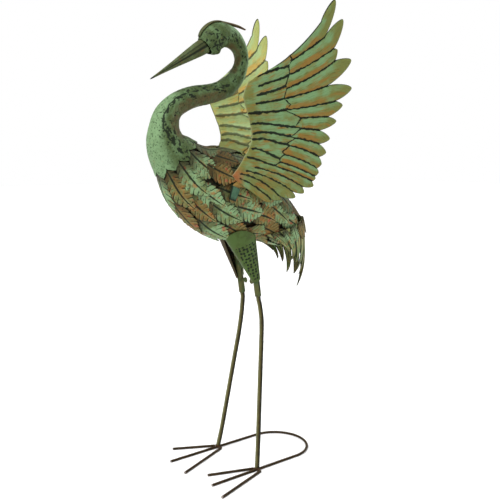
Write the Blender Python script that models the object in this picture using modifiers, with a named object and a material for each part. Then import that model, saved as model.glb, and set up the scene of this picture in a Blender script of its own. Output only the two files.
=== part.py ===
"""A standing garden crane of painted sheet metal, with raised wings and a loop behind its feet.

The bird faces -Y, its left side is +X and the ground is z = 0. While the pieces are made, y is
measured from the line between the ankles; at the end an empty moves them all, so that the
origin is under the middle of the crane.
"""

import math

import bpy
import numpy as np
from mathutils import Vector

MM = 0.001

# Driving sizes
HEIGHT = 930 * MM  # ground to the highest feather tip
SHEET = 1.5 * MM  # wings, thighs, tail and crest
LEAF_SHEET = 1.2 * MM  # body feathers
FOOT_ROD = 6.0 * MM  # ribbed rod of the loop and the toes
LEG_ROD = 9.5 * MM
SOCKET_WALL = 1.4 * MM  # tube that holds a leg, and sleeve that holds a wing
CLEAR = 0.3 * MM  # gap between pieces that touch
LOOP_SPREAD = 138 * MM  # between the loop's two straight sides, at their middles
LOOP_BACK = 105 * MM  # where the loop's straight sides end, behind the ankles
MIDDLE_TOES = {"left": 111 * MM, "right": 121 * MM}
LEG_ENTRY = 36 * MM  # how far a leg goes into its socket
LEAF_LENGTH = 82 * MM
LEAF_WIDTH = 34 * MM
LEAF_SPACING = 42 * MM  # from one row of leaves to the next
LEAF_ROWS = 7
LEAF_BASE_LIFT = 2.0 * MM  # a leaf's base above the body shell
LEAF_TIP_LIFT = 8.4 * MM  # its tip above the shell
LEAF_RIDGE = 0.8 * MM  # its rib above its edges
TONGUE = 14 * MM  # length of the points on the neck's lower edge
TAB_WIDTH = 16 * MM  # a wing's tab, at the mouth of its sleeve
SLEEVE_LENGTH = 26 * MM
SLEEVE_GAP = 0.6 * MM  # from the body feathers to the sleeves' inner faces
CREST_WIDTH = 13 * MM
THIGH_FOOT = 8.4 * MM  # radius of a thigh at its lower end
THIGH_DEPTH = 37 * MM  # half its depth, front to back, at its top
THIGH_WIDTH = 26 * MM  # how far it bulges outwards there

# The figure is drawn in shares of its height, 930 to the whole, so that one share is a
# millimetre at the height above. A place is (back, up) in the middle plane, or (out, back, up).
SHARE = HEIGHT / 930

# Stations from the tail to the brow: back, up, half depth in the middle plane, half width
SPINE = (
    (164, 466, 9, 9),
    (149, 474, 21, 20),
    (110, 496, 41, 36),
    (57, 527, 60, 48),
    (0, 547, 76, 56),
    (-54, 567, 78, 55),
    (-104, 594, 64, 46),
    (-137, 626, 45, 37),
    (-157, 652, 36, 32),
    (-163, 676, 30, 29),
    (-158, 703, 25, 25),
    (-144, 721, 22, 22),
    (-123, 734, 21, 21),
    (-98, 743, 20, 20),
    (-72, 748, 19, 19),
    (-48, 754, 18, 18),
    (-22, 765, 18, 18),
    (1, 786, 16, 16),
    (13, 814, 14, 14),
    (9, 838, 15, 15),
    (-7, 855, 19, 18),
    (-27, 861, 22, 22),
    (-45, 858, 25, 23),
    (-61, 849, 23, 20),
    (-74, 837, 16, 13),
)
COLLAR_STATION = 7.36
BROW_STATION = len(SPINE) - 1
BEAK_TIP = (-190, 769)
# Along the beak from its base: distance and depth, as shares
BEAK_OUTLINE = ((0, 1), (0.12, 0.93), (0.3, 0.74), (0.55, 0.46), (0.8, 0.22), (0.97, 0.09), (1, 0.03))

# A leg from the ankle to its socket's mouth, and the socket's line on into the thigh
LEG_LINE = ((62, 8, 60), (46, 26, 198), (39, 34, 258), (34.5, 38, 300), (29.5, 37.5, 330))
SOCKET_LINE = ((27, 35, 350), (27, 29.5, 386), (25, 22.5, 420), (23, 13, 456))
THIGH_LINE = ((27, 29.5, 384), (23.5, -14.5, 496))
THIGH_FRONT = {"left": 1.0, "right": 0.3}  # the right thigh's front half is shallower
THIGH_OPENING = math.radians(75)  # half the gap that a thigh leaves on its inner side

# Toes that are rods of their own: where they start and end beside their ankle
SIDE_TOES = {
    "left_inner_toe": ((-7.5, -3), (-40, -94)),
    "left_outer_toe": ((10, 1), (50, -122)),
    "right_outer_toe": ((-7.5, -3), (-50, -86)),
    "right_inner_toe": ((10, 1), (62, -125)),
}

# The wing as drawn on its sheet: for each line between two feathers its start on the leading
# edge, the end of the small feathers, and the notch between the two tips
FEATHER_LINES = (
    ((-4, 779), (62, 822), (123, 890)),
    ((-18, 768), (66, 812), (134, 860)),
    ((-24, 755), (66, 787), (159, 841)),
    ((-25, 742), (64, 762), (165, 819)),
    ((-20, 729), (60, 742), (155, 771)),
    ((-13, 713), (66, 721), (177, 742)),
    ((-5, 693), (103, 707), (164, 711)),
    ((-1, 675), (106, 687), (148, 684)),
    ((-1, 664), (96, 668), (152, 657)),
    ((-6, 652), (83, 653), (155, 631)),
    ((-13, 641), (71, 636), (150, 608)),
    ((-20, 633), (58, 621), (144, 592)),
    ((-28, 624), (48, 612), (136, 582)),
    ((-36, 616), (30, 604), (110, 572)),
    ((-44, 608), (14, 596), (83, 564)),
    ((-51, 602), (2, 588), (48, 557)),
    ((-57, 597), (-10, 577), (29, 550)),
    ((-46, 586), (-8, 560), (13, 547)),
)
FEATHER_TIPS = (
    (148, 930),
    (171, 896),
    (167, 840),
    (202, 823),
    (212, 769),
    (196, 735),
    (186, 703),
    (177, 667),
    (173, 639),
    (163, 616),
    (155, 599),
    (146, 586),
    (140, 572),
    (114, 559),
    (91, 551),
    (54, 548),
    (29, 544),
)
SLEEVE_FOOT = (-58, 551)
SLEEVE_STATION = 5  # the place along the spine that is beside the sleeves
SLEEVE_LEAN = math.radians(21)

TAIL_BLADES = 11

COLOURS = {
    "patina": (0.22, 0.34, 0.19),
    "pale_patina": (0.30, 0.42, 0.24),
    "olive": (0.16, 0.15, 0.06),
    "rust": (0.11, 0.06, 0.035),
}


def blend(a, b, share):
    return a + (b - a) * share


def smooth_step(value):
    value = min(1.0, max(0.0, value))
    return value * value * (3 - 2 * value)


def place(out, back, up):
    """A point given in shares of the height."""
    return Vector((out, back, up)) * SHARE


# The spine curve and the skin around it


def spine(station):
    """Centre, direction, half depth and half width of the figure at a station."""
    last = len(SPINE) - 1
    first = min(max(int(math.floor(station)), 0), last - 1)
    share = station - first
    rows = [Vector(SPINE[min(max(first + k, 0), last)]) for k in (-1, 0, 1, 2)]
    if first == 0:
        rows[0] = 2 * rows[1] - rows[2]
    if first == last - 1:
        rows[3] = 2 * rows[2] - rows[1]
    bend = (rows[2] - rows[0], 2 * rows[0] - 5 * rows[1] + 4 * rows[2] - rows[3],
            3 * (rows[1] - rows[2]) + rows[3] - rows[0])
    here = rows[1] + 0.5 * (bend[0] * share + bend[1] * share**2 + bend[2] * share**3)
    slope = bend[0] + 2 * bend[1] * share + 3 * bend[2] * share**2
    centre = place(0, here[0], here[1])
    direction = Vector((0, slope[0], slope[1])).normalized()
    return centre, direction, here[2] * SHARE, here[3] * SHARE


def skin(station, angle, lift=0.0):
    """A point on the skin: angle 0 is on the back, a quarter turn is on the left side."""
    centre, direction, depth, width = spine(station)
    normal = Vector((0, direction.z, -direction.y))
    return centre + normal * (math.cos(angle) * (depth + lift)) + Vector(
        (math.sin(angle) * (width + lift), 0, 0)
    )


def station_table():
    """Lengths along the spine, from the tail, at closely set stations."""
    stations = np.linspace(0, BROW_STATION, 20 * BROW_STATION + 1)
    centres = np.array([spine(s)[0] for s in stations])
    steps = np.linalg.norm(np.diff(centres, axis=0), axis=1)
    return stations, np.concatenate([[0], np.cumsum(steps)])


STATIONS, LENGTHS = station_table()
COLLAR_LENGTH = float(np.interp(COLLAR_STATION, STATIONS, LENGTHS))


def station_at(distance):
    """The station at a distance behind the collar, towards the tail."""
    return float(np.interp(COLLAR_LENGTH - distance, LENGTHS, STATIONS))


def inside_skin(point, lift):
    """True if a point lies within the body's skin raised by lift."""
    best = None
    for station in np.linspace(0, COLLAR_STATION, 29):
        centre, direction, depth, width = spine(station)
        offset = point - centre
        gap = abs(offset.dot(direction))
        if best is None or gap < best[0]:
            normal = Vector((0, direction.z, -direction.y))
            reach = math.hypot(
                offset.dot(normal) / (depth + lift), point.x / (width + lift)
            )
            best = (gap, reach)
    return best[1] < 1


# Mesh helpers


def new_material(name, colour, roughness=0.55, metallic=0.6):
    material = bpy.data.materials.new(name)
    material.use_nodes = True
    shader = material.node_tree.nodes["Principled BSDF"]
    shader.inputs["Base Color"].default_value = (*colour, 1)
    shader.inputs["Roughness"].default_value = roughness
    shader.inputs["Metallic"].default_value = metallic
    return material


def add_object(name, data, colour):
    piece = bpy.data.objects.new(name, data)
    data.materials.append(new_material(name + "_paint", COLOURS[colour]))
    CRANE.objects.link(piece)
    piece.parent = ROOT
    return piece


def mesh_object(name, points, faces, colour, smooth_angle=40):
    mesh = bpy.data.meshes.new(name)
    mesh.from_pydata([tuple(p) for p in points], [], faces)
    mesh.shade_smooth()
    mesh.set_sharp_from_angle(angle=math.radians(smooth_angle))
    return add_object(name, mesh, colour)


def loft(name, rings, colour, smooth_angle=40):
    """A closed solid through rings of equal count, with both ends capped."""
    count = len(rings[0])
    points = [p for ring in rings for p in ring]
    faces = []
    for row in range(len(rings) - 1):
        for k in range(count):
            a = row * count + k
            b = row * count + (k + 1) % count
            faces.append((a, b, b + count, a + count))
    faces.append(tuple(reversed(range(count))))
    faces.append(tuple(range(len(points) - count, len(points))))
    if signed_volume(points, faces) < 0:
        faces = [tuple(reversed(face)) for face in faces]
    return mesh_object(name, points, faces, colour, smooth_angle)


def signed_volume(points, faces):
    total = 0.0
    for face in faces:
        for k in range(1, len(face) - 1):
            a, b, c = points[face[0]], points[face[k]], points[face[k + 1]]
            total += a.dot(b.cross(c))
    return total


def sheet_object(name, points, faces, thickness, colour, smooth_angle=25):
    """An open surface given its thickness."""
    piece = mesh_object(name, points, faces, colour, smooth_angle)
    solid = piece.modifiers.new("thickness", "SOLIDIFY")
    solid.thickness = thickness
    solid.offset = 0
    solid.use_even_offset = True
    solid.thickness_clamp = 1.0
    return piece


def rod_object(name, points, diameter, colour):
    """A solid rod along points, with a flat side turned down."""
    curve = bpy.data.curves.new(name, "CURVE")
    curve.dimensions = "3D"
    curve.twist_mode = "Z_UP"
    curve.bevel_depth = diameter / 2
    curve.bevel_resolution = ROD_SIDES // 2 - 2
    curve.use_fill_caps = True
    line = curve.splines.new("POLY")
    line.points.add(len(points) - 1)
    for target, point in zip(line.points, points):
        target.co = (*point, 1)
        target.tilt = math.pi / ROD_SIDES
    return add_object(name, curve, colour)


def through(points, steps):
    """A smooth line through points, with steps between each two."""
    rows = [2 * points[0] - points[1], *points, 2 * points[-1] - points[-2]]
    line = []
    for a, b, c, d in zip(rows, rows[1:], rows[2:], rows[3:]):
        for k in range(steps):
            t = k / steps
            line.append(
                0.5 * (2 * b + (c - a) * t + (2 * a - 5 * b + 4 * c - d) * t**2
                       + (3 * b - 3 * c + d - a) * t**3)
            )
    return line + [points[-1]]


def circle(centre, direction, radius, sides, flat=1.0):
    """Points round a line, the radius along x times flat."""
    across = Vector((1, 0, 0))
    across = (across - direction * across.dot(direction)).normalized()
    up = direction.cross(across)
    ring = []
    for k in range(sides):
        turn = k * math.tau / sides
        ring.append(centre + (across * (math.cos(turn) * flat) + up * math.sin(turn)) * radius)
    return ring


def mirrored(point, side):
    return Vector((point.x * side, point.y, point.z))


# Feet and legs

ROD_SIDES = 8
ROD_DOWN = math.cos(math.pi / ROD_SIDES) * FOOT_ROD / 2  # centre of a rod above its flat
TUBE_SIDES = 10
BORE_SPARE = 3 * MM  # between a leg's end and the bore's floor
SCREW_UP = 29 * MM  # thumbscrew above the socket's mouth
SCREW_SIDES = 8
# Along the screw: distance from the tube, half thickness and half height, in millimetres
SCREW_PROFILE = (
    (0, 2.2, 2.2),
    (4, 2.2, 2.2),
    (5.5, 1.3, 4.5),
    (10, 1.1, 6),
    (14, 1.1, 5),
    (15.5, 0.8, 2.5),
)


def make_foot_loop():
    """One bent rod: middle toe, straight side, half circle, straight side, middle toe."""
    radius = LOOP_SPREAD / 2
    turns = [k * math.pi / 20 for k in range(21)]
    points = [Vector((radius, -MIDDLE_TOES["left"], ROD_DOWN))]
    points += [
        Vector((radius * math.cos(a), LOOP_BACK + radius * math.sin(a), ROD_DOWN)) for a in turns
    ]
    points.append(Vector((-radius, -MIDDLE_TOES["right"], ROD_DOWN)))
    rod_object("foot_loop", points, FOOT_ROD, "rust")


def make_side_toes():
    for name, (start, end) in SIDE_TOES.items():
        ankle = LOOP_SPREAD / 2 * (1 if name.startswith("left") else -1)
        points = [Vector((ankle + x * MM, y * MM, ROD_DOWN)) for x, y in (start, end)]
        rod_object(name, points, FOOT_ROD, "rust")


def socket_mouth():
    """The middle of the socket's open end, and the way up into it."""
    mouth = place(*SOCKET_LINE[0])
    return mouth, (place(*SOCKET_LINE[1]) - mouth).normalized()


def leg_points(side):
    """The leg's line from the top of the foot rod to its end, straight where it is in the socket."""
    mouth, upward = socket_mouth()
    ankle = LOOP_SPREAD / 2
    shin = place(*LEG_LINE[0])
    knee = place(*LEG_LINE[1])
    shin.x = blend(ankle, knee.x, 0.3)
    lean = math.hypot(shin.x - ankle, shin.y) / shin.z
    foot = Vector((ankle, 0, 2 * ROD_DOWN + CLEAR + LEG_ROD / 2 * math.sin(math.atan(lean)) * 1.1))
    knots = [foot, shin, *(place(*p) for p in LEG_LINE[1:]), mouth - upward * LEG_ROD]
    return [mirrored(p, side) for p in through(knots, 2) + [mouth + upward * LEG_ENTRY]]


def socket_points(side):
    """The socket tube's line, cut off where it would meet the feathers."""
    mouth, upward = socket_mouth()
    deep = mouth + upward * (LEG_ENTRY + BORE_SPARE + SOCKET_WALL)
    upper = through([deep, *(place(*p) for p in SOCKET_LINE[2:])], 3)
    above = Vector((0, 0, LEG_ROD))
    kept = [p for p in upper if not inside_skin(p + above, LEAF_TIP_LIFT)]
    return [mirrored(p, side) for p in [mouth, *kept]]


def directions(points):
    ends = [points[0], *points, points[-1]]
    return [(c - a).normalized() for a, c in zip(ends, ends[2:])]


def make_leg(side, word):
    rod_object(word + "_leg", leg_points(side), LEG_ROD, "olive")


def make_leg_socket(side, word):
    """A tube open at its lower end, where the leg goes in."""
    line = socket_points(side)
    ways = directions(line)
    mouth, upward = socket_mouth()
    floor = mirrored(mouth + upward * (LEG_ENTRY + BORE_SPARE), side)
    ways[0] = mirrored(upward, side)
    bore = (LEG_ROD / 2 + CLEAR) / math.cos(math.pi / TUBE_SIDES)
    rings = [circle(p, ways[0], bore, TUBE_SIDES) for p in (floor, line[0])]
    rings += [circle(p, way, bore + SOCKET_WALL, TUBE_SIDES) for p, way in zip(line, ways)]
    loft(word + "_leg_socket", rings, "olive")


def make_thigh(side, word):
    """Half a cone of sheet round the socket, open towards the other leg."""
    low, high = (place(*p) for p in THIGH_LINE)
    axis = (high - low).normalized()
    out = Vector((1, 0, 0))
    back = axis.cross(out)

    def rim(turn, share):
        depth = blend(THIGH_FOOT, THIGH_DEPTH, share)
        if math.sin(turn) < 0:
            depth = blend(THIGH_FOOT, THIGH_DEPTH, share * THIGH_FRONT[word])
        width = blend(THIGH_FOOT, THIGH_WIDTH, share)
        ray = out * (math.cos(turn) * width) + back * (math.sin(turn) * depth)
        return low.lerp(high, share) + ray

    columns = 10
    rows = 4
    points = []
    for k in range(columns + 1):
        turn = blend(-1, 1, k / columns) * (math.pi - THIGH_OPENING)
        reach = 0.0
        while reach < 1 and not inside_skin(rim(turn, reach + 0.01), LEAF_TIP_LIFT + LEAF_SHEET + SHEET):
            reach += 0.01
        points += [mirrored(rim(turn, reach * row / rows), side) for row in range(rows + 1)]
    sheet_object(word + "_thigh", points, grid_faces(columns, rows), SHEET, "patina")


def grid_faces(columns, rows):
    """Faces between columns of rows + 1 points each."""
    step = rows + 1
    return [
        (c * step + r, (c + 1) * step + r, (c + 1) * step + r + 1, c * step + r + 1)
        for c in range(columns)
        for r in range(rows)
    ]


def make_thumbscrew(side, word):
    """A short screw with a flat lug, on the inner side of the socket."""
    mouth, upward = socket_mouth()
    centre = mirrored(mouth + upward * SCREW_UP, side)
    inward = Vector((-side, 0, 0))
    wall = (LEG_ROD / 2 + CLEAR) / math.cos(math.pi / TUBE_SIDES) + SOCKET_WALL + CLEAR
    rings = []
    for along, thick, tall in SCREW_PROFILE:
        ring = []
        for k in range(SCREW_SIDES):
            turn = k * math.tau / SCREW_SIDES
            around = Vector((0, math.cos(turn) * thick, math.sin(turn) * tall)) * MM
            ring.append(centre + inward * (wall + along * MM) + around)
        rings.append(ring)
    loft(word + "_thumbscrew", rings, "olive")


# Body, neck, head

SKIN_SIDES = 20
LEAF_START = 4 * MM  # first leaves behind the collar
TAIL_BARE = 22 * MM  # from the last leaves' tips to the body's end
# Along a leaf from its base: distance and half width, as shares; a lobe ends in a step
LEAF_OUTLINE = ((0.0, 1.0), (0.5, 1.0), (0.70, 0.90), (0.74, 0.62), (1.0, 0.0))
# Inner face of the neck's points above the body shell
NECK_UNDER = LEAF_BASE_LIFT + LEAF_SHEET + LEAF_RIDGE + CLEAR + 0.9 * MM
NECK_STATIONS = (
    (COLLAR_STATION, 8, 8.5, 9, 9.6, 10.1, 10.7, 11.5, 12.3, 13.2, 14, 15, 15.8, 16.5, 17.1, 17.7)
    + (18.4, 19.1, 19.7, 20.3, 20.9, 21.5, 22, 22.5, 23, 23.5, 24)
)
# Round forms of the head: station, angle, their reach along and around, and their height
HEAD_LOBES = (
    (22.9, 2.35, 0.8, 0.55, 3.2),
    (23.3, 1.3, 0.6, 0.5, 2.4),
    (21.6, 1.5, 0.9, 0.6, 1.5),
    (23.4, 2.9, 0.6, 0.75, 6.5),
)


def make_body():
    """The shell that the feathers sit on."""
    stations = [0, 0.4, 1.0, 1.9, 2.7, 3.4, 4.1, 4.8, 5.5, 6.3, station_at(CLEAR)]
    rings = [[skin(s, k * math.tau / SKIN_SIDES) for k in range(SKIN_SIDES)] for s in stations]
    loft("body_shell", rings, "olive")


def leaf_lift(share):
    return blend(LEAF_BASE_LIFT, LEAF_TIP_LIFT, share) + LEAF_SHEET / 2


def make_leaf_row(row):
    """One ring of leaf-shaped feathers, joined side by side up to the notch between them."""
    start = row * LEAF_SPACING + LEAF_START
    length = min(LEAF_LENGTH, COLLAR_LENGTH - TAIL_BARE - start)
    middle = spine(station_at(start + length / 2))
    girth = math.tau * math.sqrt((middle[2] ** 2 + middle[3] ** 2) / 2)
    leaves = max(8, 2 * round(girth / LEAF_WIDTH / 2))
    pitch = math.tau / leaves
    points = []
    faces = []
    index = {}

    def corner(leaf, edge, k):
        """Edge -1 and 1 are a leaf's sides, 0 its rib; sides are shared up to the notch."""
        share, width = LEAF_OUTLINE[k]
        if edge == 1 and width == 1.0:
            leaf, edge = (leaf + 1) % leaves, -1
        if width == 0.0:
            edge = 0
        key = (leaf, edge, k)
        if key not in index:
            angle = (leaf + 0.5 * (row % 2) + 0.5 * edge * width) * pitch
            ridge = 0.0 if edge else LEAF_RIDGE
            station = station_at(start + share * length)
            index[key] = len(points)
            points.append(skin(station, angle, leaf_lift(share) + ridge))
        return index[key]

    for leaf in range(leaves):
        for k in range(len(LEAF_OUTLINE) - 1):
            for edge in (-1, 1):
                loop = [corner(leaf, 0, k), corner(leaf, 0, k + 1)]
                loop += [corner(leaf, edge, k + 1), corner(leaf, edge, k)]
                loop = list(dict.fromkeys(loop))
                faces.append(tuple(loop if edge > 0 else reversed(loop)))
    sheet_object(f"leaf_row_{row + 1}", points, faces, LEAF_SHEET, "patina", 20)


def neck_lift(station):
    """The neck's lower end stands over the first feathers."""
    return (NECK_UNDER + SHEET) * max(0.0, 1 - (station - COLLAR_STATION) / 2)


def head_bump(station, angle):
    """The round cheek and brow on each side of the head."""
    lift = 0.0
    turn = abs((angle + math.pi) % math.tau - math.pi)
    for where, around, long, wide, high in HEAD_LOBES:
        square = ((station - where) / long) ** 2 + ((turn - around) / wide) ** 2
        lift += high * SHARE * math.exp(-square)
    return lift


def make_neck_and_head():
    """A tube that ends below in pointed tongues and above in the head."""
    angles = [k * math.tau / SKIN_SIDES for k in range(SKIN_SIDES)]

    def tongue_ring(lift):
        ring = []
        for k, angle in enumerate(angles):
            reach = TONGUE * (0.12, 1, 0.12, 0.7)[k % 4]
            rise = (LEAF_TIP_LIFT - LEAF_BASE_LIFT) * reach / LEAF_LENGTH
            ring.append(skin(station_at(reach), angle, lift + rise))
        return ring

    rings = [
        [skin(COLLAR_STATION, angle, NECK_UNDER) for angle in angles],
        tongue_ring(NECK_UNDER + 0.6 * MM),
        tongue_ring(NECK_UNDER + 0.6 * MM + SHEET),
    ]
    for station in NECK_STATIONS:
        rings.append([skin(station, a, neck_lift(station) + head_bump(station, a)) for a in angles])
    loft("neck_and_head", rings, "patina")


def make_beak():
    """A long cone, deeper than it is wide, from the brow to its tip."""
    brow, direction, depth, width = spine(BROW_STATION)
    start = brow + direction * CLEAR
    tip = place(0, *BEAK_TIP)
    rings = []
    for share, size in BEAK_OUTLINE:
        middle = start.lerp(tip, share)
        rings.append(circle(middle, direction, depth * 0.94 * size, 12, width / depth))
    loft("beak", rings, "olive", 50)


# The crest's width as a share: by station on the head, and by place where it is free
CREST_ON_HEAD = ((23.75, 0.4), (23.3, 0.75), (22.8, 1), (22.3, 1), (21.8, 0.95), (21.4, 0.9))
CREST_FREE = ((2, 883, 0.65), (23, 877, 0.1))


def make_crest():
    """A strip over the crown, with its free end behind the head."""
    lift = SHEET / 2 + CLEAR + 0.6 * MM
    points = []
    for station, share in CREST_ON_HEAD:
        half = share * CREST_WIDTH / 2
        turn = half / spine(station)[3]
        for across in (-1, 0, 1):
            points.append(skin(station, across * turn, lift + head_bump(station, across * turn)))
    for back, up, share in CREST_FREE:
        for across in (-1, 0, 1):
            drop = 1.2 * MM * share * abs(across)
            points.append(place(0, back, up) + Vector((across * share * CREST_WIDTH / 2, 0, -drop)))
    faces = []
    for row in range(len(points) // 3 - 1):
        for column in range(2):
            a = row * 3 + column
            faces.append((a, a + 1, a + 4, a + 3))
    sheet_object("crest", points, faces, SHEET, "patina")


# Wings

# From the middle plane to the sleeves' inner faces, and to the middle of the tabs' sheet
SLEEVE_OUT = spine(SLEEVE_STATION)[3] + LEAF_TIP_LIFT + SLEEVE_GAP
TAB_OUT = SLEEVE_OUT + SOCKET_WALL + CLEAR + SHEET / 2
TAB_FOOT_SHARE = 0.36  # half of the tab's lower end, as a share of its width at the mouth
# Sections across a feather, as shares of the way to the end of the small feathers, and how
# far the feather's middle stands out at each, the notch last, in shares of the height
WING_SECTIONS = (0, 0.5, 1, 1.08)
WING_CROWNS = (0.6, 1.8, 1.2, -0.4, 1.2)
FREE_SECTIONS = (0, 0.45, 0.85, 1)  # shares of the way from a notch to the tip


def wing_out(back, up):
    """How far the wing's sheet stands out from the middle plane, for a place in shares."""
    share = smooth_step((690 - up) / 100)
    raised = 52.2 + 0.16 * (up - 678) + 0.1885 * back
    lower = TAB_OUT / SHARE + 0.10 * (586 - up) * (1 if up < 586 else 0.3) + 0.04 * (back + 50)
    return blend(raised, lower, share)


def wing_point(flat, crown=0.0):
    return place(wing_out(flat.x, flat.y) + crown, flat.x, flat.y)


def middle_share(line):
    """Where a feather line's middle point lies along it."""
    start, middle, end = (Vector(p) for p in line)
    return (middle - start).length / ((middle - start).length + (end - middle).length)


def line_point(line, share):
    """A point on a feather line: 0 at the leading edge, 1 at the notch, curved through its middle."""
    start, middle, end = (Vector(p) for p in line)
    bend = middle_share(line)
    a = (share - bend) * (share - 1) / bend
    b = share * (share - 1) / (bend * (bend - 1))
    c = share * (share - bend) / (1 - bend)
    return start * a + middle * b + end * c


def tip_point(line, tip, share, swell):
    """A point on the curved edge from a notch to a feather's tip."""
    end = Vector(line[2])
    along = Vector(tip) - end
    across = Vector((-along.y, along.x)) * swell
    return end.lerp(Vector(tip), share) + across * 2.3 * share**0.85 * (1 - share) ** 0.5


def make_wing(side, word):
    """Seventeen feathers in one embossed sheet, free beyond their notches, and a tab below."""
    points = []
    faces = []
    index = {}
    notch = len(WING_SECTIONS)

    def keep(key, point):
        if key not in index:
            index[key] = len(points)
            points.append(mirrored(point, side))
        return index[key]

    def line_place(line, k):
        corners = FEATHER_LINES[line]
        share = middle_share(corners) * WING_SECTIONS[k] if k < notch else 1.0
        return line_point(corners, share)

    def edge(line, k):
        return keep(("line", line, k), wing_point(line_place(line, k)))

    def rib(feather, k):
        flat = line_place(feather, k).lerp(line_place(feather + 1, k), 0.5)
        return keep(("rib", feather, k), wing_point(flat, WING_CROWNS[k]))

    def free(feather, part, k):
        """Part 0 is a feather's upper edge, 1 its lower edge and 2 its middle."""
        tip = FEATHER_TIPS[feather]
        if k == 0:
            return rib(feather, notch) if part == 2 else edge(feather + part, notch)
        if k == len(FREE_SECTIONS) - 1:
            return keep(("tip", feather), wing_point(Vector(tip)))
        upper = tip_point(FEATHER_LINES[feather], tip, FREE_SECTIONS[k], 0.10)
        lower = tip_point(FEATHER_LINES[feather + 1], tip, FREE_SECTIONS[k], -0.10)
        flat = upper.lerp(lower, (0, 1, 0.5)[part])
        return keep(("free", feather, part, k), wing_point(flat, WING_CROWNS[notch] if part == 2 else 0))

    def add(*loop):
        loop = list(dict.fromkeys(loop))
        faces.append(tuple(loop if side > 0 else reversed(loop)))

    for feather in range(len(FEATHER_TIPS)):
        after = feather + 1
        for k in range(notch):
            add(edge(feather, k), rib(feather, k), rib(feather, k + 1), edge(feather, k + 1))
            add(rib(feather, k), edge(after, k), edge(after, k + 1), rib(feather, k + 1))
        for k in range(len(FREE_SECTIONS) - 1):
            rows = [[free(feather, part, n) for part in (0, 2, 1)] for n in (k, k + 1)]
            add(rows[0][0], rows[0][1], rows[1][1], rows[1][0])
            add(rows[0][1], rows[0][2], rows[1][2], rows[1][1])

    last = len(FEATHER_LINES) - 1
    rows = [(edge(last, 0), edge(last, 1))]
    mouth = (SLEEVE_LENGTH + 3 * MM, TAB_WIDTH / 2)
    foot = (SOCKET_WALL + CLEAR, TAB_WIDTH * TAB_FOOT_SHARE)
    for along, half in (mouth, foot):
        pair = [sleeve_point(along, across * half, TAB_OUT) for across in (-1, 1)]
        rows.append(tuple(keep(("tab", along, n), p) for n, p in enumerate(pair)))
    for (a, b), (c, d) in zip(rows, rows[1:]):
        add(b, a, c, d)
    sheet_object(word + "_wing", points, faces, SHEET, "pale_patina", 20)


def sleeve_point(along, across, out):
    """A point of the sleeve: along it from its foot, across it, and out from the middle plane."""
    foot = place(0, *SLEEVE_FOOT)
    up = Vector((0, math.sin(SLEEVE_LEAN), math.cos(SLEEVE_LEAN)))
    behind = Vector((0, math.cos(SLEEVE_LEAN), -math.sin(SLEEVE_LEAN)))
    return foot + up * along + behind * across + Vector((out, 0, 0))


def make_wing_sleeve(side, word):
    """A flat sleeve on the body's side, open at the top, where the wing's tab goes in."""
    slot = SHEET + 2 * CLEAR
    top_half = TAB_WIDTH / 2 + CLEAR + SOCKET_WALL
    foot_half = TAB_WIDTH * TAB_FOOT_SHARE + CLEAR + SOCKET_WALL

    def ring(along, half, near, far):
        corners = ((-half, near), (half, near), (half, far), (-half, far))
        return [mirrored(sleeve_point(along, across, out), side) for across, out in corners]

    near = SLEEVE_OUT + SOCKET_WALL
    rings = [
        ring(SOCKET_WALL, foot_half - SOCKET_WALL, near, near + slot),
        ring(SLEEVE_LENGTH, top_half - SOCKET_WALL, near, near + slot),
        ring(SLEEVE_LENGTH, top_half, SLEEVE_OUT, near + slot + SOCKET_WALL),
        ring(0, foot_half, SLEEVE_OUT, near + slot + SOCKET_WALL),
    ]
    loft(word + "_wing_sleeve", rings, "patina")


# Tail

TAIL_TURN = math.radians(140)  # how far the tail's base reaches round the body from the back
TAIL_RIDGE = 1.0 * MM
# Along a blade from its base: distance and half width, as shares
TAIL_OUTLINE = ((0.0, 1.0), (0.38, 1.0), (0.66, 0.86), (0.88, 0.5), (1.0, 0.0))


def tail_point(across, along):
    """Across runs from -1 to 1 round the body's end, along from 0 at the base to 1 at the tips."""
    outer = abs(across)
    turn = math.copysign(TAIL_TURN * outer**0.7, across)
    lift = LEAF_TIP_LIFT + LEAF_SHEET + LEAF_RIDGE + SHEET / 2 + CLEAR + 1.2 * MM
    base = skin(station_at((337 - 87 * outer**1.5) * SHARE), turn, lift)
    out = math.sin(across * math.pi / 2)
    bend = place(40 * out, 205 - 93 * outer, 405 + 38 * outer)
    tip = place(22 * out, 163 - 52 * outer, 352 + 85 * outer)
    return base * (1 - along) ** 2 + bend * (2 * along * (1 - along)) + tip * along**2


def make_tail():
    """Narrow blades hanging under the end of the body, joined at their bases."""
    points = []
    faces = []
    index = {}

    def corner(blade, edge, k):
        along, width = TAIL_OUTLINE[k]
        if edge == 1 and width == 1.0:
            blade, edge = blade + 1, -1
        if width == 0.0:
            edge = 0
        key = (blade, edge, k)
        if key not in index:
            across = (blade + 0.5 + 0.5 * edge * width) * 2 / TAIL_BLADES - 1
            along *= 1 - 0.12 * ((blade + 1) % 2) * along
            point = tail_point(across, along)
            if edge == 0:
                point.y += TAIL_RIDGE
            index[key] = len(points)
            points.append(point)
        return index[key]

    for blade in range(TAIL_BLADES):
        for k in range(len(TAIL_OUTLINE) - 1):
            for edge in (-1, 1):
                loop = [corner(blade, 0, k), corner(blade, 0, k + 1)]
                loop += [corner(blade, edge, k + 1), corner(blade, edge, k)]
                loop = list(dict.fromkeys(loop))
                faces.append(tuple(loop if edge > 0 else reversed(loop)))
    sheet_object("tail_feathers", points, faces, SHEET, "pale_patina", 20)


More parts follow.
